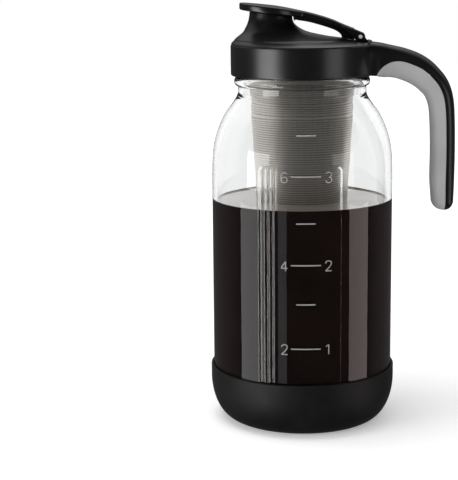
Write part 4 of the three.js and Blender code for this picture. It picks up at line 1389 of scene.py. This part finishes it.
studio = {
    "floorShade": 0.9,
    "floorReach": 3000,
    # keeps the paper white to the eye, less of it near the object, where the shadow falls
    "nearLift": 0.28,
    "farLift": 0.62,
    "liftBand": (0.16, 0.7),  # metres from the middle
    "plainLevel": 0.62,  # what lights matt surfaces from all round
    "frontLevel": 0.03,  # what gloss mirrors from the front
    "backLevel": 1.0,  # and from behind, high up, low down and towards the sides
    "lowLevel": 0.11,
    "sideLevel": 0.45,
    "innerLean": -0.35,  # what is mirrored inside the glass comes from behind and the left
    "innerFront": 0.11,
    "innerLevel": 1.25,
    # where each level starts and ends, as parts of the direction
    "behindBand": (-0.1, 0.4),
    "aboveBand": (0.15, 0.6),
    "sideBand": (0.05, 0.32),
    "innerBand": (-0.5, 0.2),
    "softboxAway": 0.9,  # from the jar's axis
    # turn from the front in degrees, height of the middle
    "softboxes": {
        "leftHigh": {"size": (0.5, 0.34), "turn": -56, "height": 0.2, "power": 2.7},
        "rightHigh": {"size": (0.46, 0.34), "turn": 52, "height": 0.2, "power": 0.75},
        "leftLow": {"size": (0.5, 0.6), "turn": -66.5, "height": -0.3, "power": 1.6},
        "leftMiddle": {"size": (0.38, 0.6), "turn": -43, "height": -0.2, "power": 3.2},
        "leftNear": {"size": (0.21, 0.6), "turn": -24.3, "height": -0.3, "power": 0.24,
                     "color": (0.93, 0.94, 1)},
        "rightLow": {"size": (0.47, 0.6), "turn": 75, "height": -0.3, "power": 1.5,
                     "color": (1, 0.83, 0.82)},
    },
    "topSoftbox": {"size": (0.6, 0.6), "power": 5.0, "place": (-0.27, -0.05, 1.15),
                   "towards": (0, 0, 0.12)},
}


def addFloor():
    reach = studio["floorReach"]
    corners = [(x * reach, y * reach, 0) for x, y in ((-1, -1), (1, -1), (1, 1), (-1, 1))]
    floor = newPiece("floor", corners, [(0, 1, 2, 3)])
    material = newMaterial("floorPaper")
    paper = addNode(material, "ShaderNodeBsdfDiffuse", {"Color": (studio["floorShade"],) * 3 + (1,)})
    lift = addNode(material, "ShaderNodeEmission")
    away = addNode(material, "ShaderNodeVectorMath", operation="LENGTH")
    join(material, addPlace(material), "Vector", away, 0)
    amount = addNode(material, "ShaderNodeMath", operation="MULTIPLY")
    addRange(material, away, "Value", amount, 1, studio["nearLift"], studio["farLift"],
             *studio["liftBand"])
    join(material, addNode(material, "ShaderNodeLightPath"), "Is Camera Ray", amount, 0)
    join(material, amount, 0, lift, "Strength")
    both = addNode(material, "ShaderNodeAddShader")
    join(material, paper, 0, both, 0)
    join(material, lift, 0, both, 1)
    join(material, both, 0, addNode(material, "ShaderNodeOutputMaterial"), "Surface")
    floor.data.materials.append(material)
    floor.visible_glossy = False
    floor.visible_transmission = False


def addLamp(name, size, power, place, towards, color=(1, 1, 1)):
    lamp = bpy.data.lights.new(name, "AREA")
    lamp.shape = "RECTANGLE"
    lamp.size, lamp.size_y = size
    lamp.energy = power
    lamp.color = color
    box = bpy.data.objects.new(name, lamp)
    bpy.context.scene.collection.objects.link(box)
    facing = (Vector(towards) - Vector(place)).to_track_quat("-Z", "Y").to_matrix().to_4x4()
    box.matrix_world = Matrix.Translation(place) @ facing
    box.visible_transmission = False  # the steel behind the glass mirrors the room instead
    return box


def addSoftboxes():
    away = studio["softboxAway"]
    for name, box in studio["softboxes"].items():
        angle, height = math.radians(box["turn"]), box["height"]
        place = (away * math.sin(angle), -away * math.cos(angle), height)
        addLamp(name, box["size"], box["power"], place, (0, 0, height), box.get("color", (1, 1, 1)))
    above = addLamp("topSoftbox", **studio["topSoftbox"])
    above.visible_glossy = False  # it gives the shadow, not a glint on the glass


def addSurroundings():
    world = bpy.data.worlds.new("studio")
    bpy.context.scene.world = world
    world.use_nodes = True
    world.node_tree.nodes.clear()
    path = addNode(world, "ShaderNodeLightPath")
    parts = addNode(world, "ShaderNodeSeparateXYZ")
    join(world, addNode(world, "ShaderNodeTexCoord"), "Generated", parts, "Vector")

    # a value is a number or the output of a node
    def feed(node, socket, value):
        if isinstance(value, tuple):
            join(world, *value, node, socket)
        else:
            node.inputs[socket].default_value = value

    def reckon(way, first, second=0):
        node = addNode(world, "ShaderNodeMath", operation=way)
        feed(node, 0, first)
        feed(node, 1, second)
        return node, 0

    def band(value, limits, low, high):
        node = addNode(world, "ShaderNodeMapRange",
                       {"From Min": limits[0], "From Max": limits[1], "To Min": low, "To Max": high},
                       interpolation_type="SMOOTHSTEP")
        feed(node, "Value", value)
        return node, 0

    # gloss mirrors a white sheet behind, well over the horizon, and a dark room in front
    behind = band((parts, "Y"), studio["behindBand"], 0, 1)
    above = band((parts, "Z"), studio["aboveBand"], studio["lowLevel"], studio["backLevel"])
    sides = band(reckon("ABSOLUTE", (parts, "X")), studio["sideBand"], 1, studio["sideLevel"])
    sheet = reckon("MULTIPLY", reckon("MULTIPLY", above, behind), sides)
    # inside the glass the sheet reaches round to the sides and down
    within = reckon("GREATER_THAN", (path, "Transmission Depth"), 0.5)
    leftwards = reckon("MULTIPLY", (parts, "X"), studio["innerLean"])
    aside = band(reckon("ADD", leftwards, (parts, "Y")), studio["innerBand"], studio["innerFront"],
                 studio["innerLevel"])
    inner = reckon("MULTIPLY", within, aside)
    mirrored = reckon("ADD", reckon("MAXIMUM", sheet, inner), studio["frontLevel"])
    # what the eye sees directly or through glass is plain white
    direct = reckon("LESS_THAN", (path, "Glossy Depth"), 0.5)
    through = reckon("MULTIPLY", (path, "Is Transmission Ray"), direct)
    seen = reckon("MAXIMUM", (path, "Is Camera Ray"), through)
    plain = reckon("MULTIPLY", (path, "Is Diffuse Ray"), studio["plainLevel"])
    gloss = reckon("MULTIPLY", mirrored, reckon("SUBTRACT", 1.0, (path, "Is Diffuse Ray")))
    level = reckon("ADD", plain, gloss)
    unseen = reckon("MULTIPLY", level, reckon("SUBTRACT", 1.0, seen))
    light = addNode(world, "ShaderNodeBackground", {"Color": (1, 1, 1, 1)})
    feed(light, "Strength", reckon("ADD", unseen, seen))
    join(world, light, 0, addNode(world, "ShaderNodeOutputWorld"), "Surface")


addFloor()
addSoftboxes()
addSurroundings()
bpy.context.scene.view_settings.view_transform = "Standard"
print("studio set up")
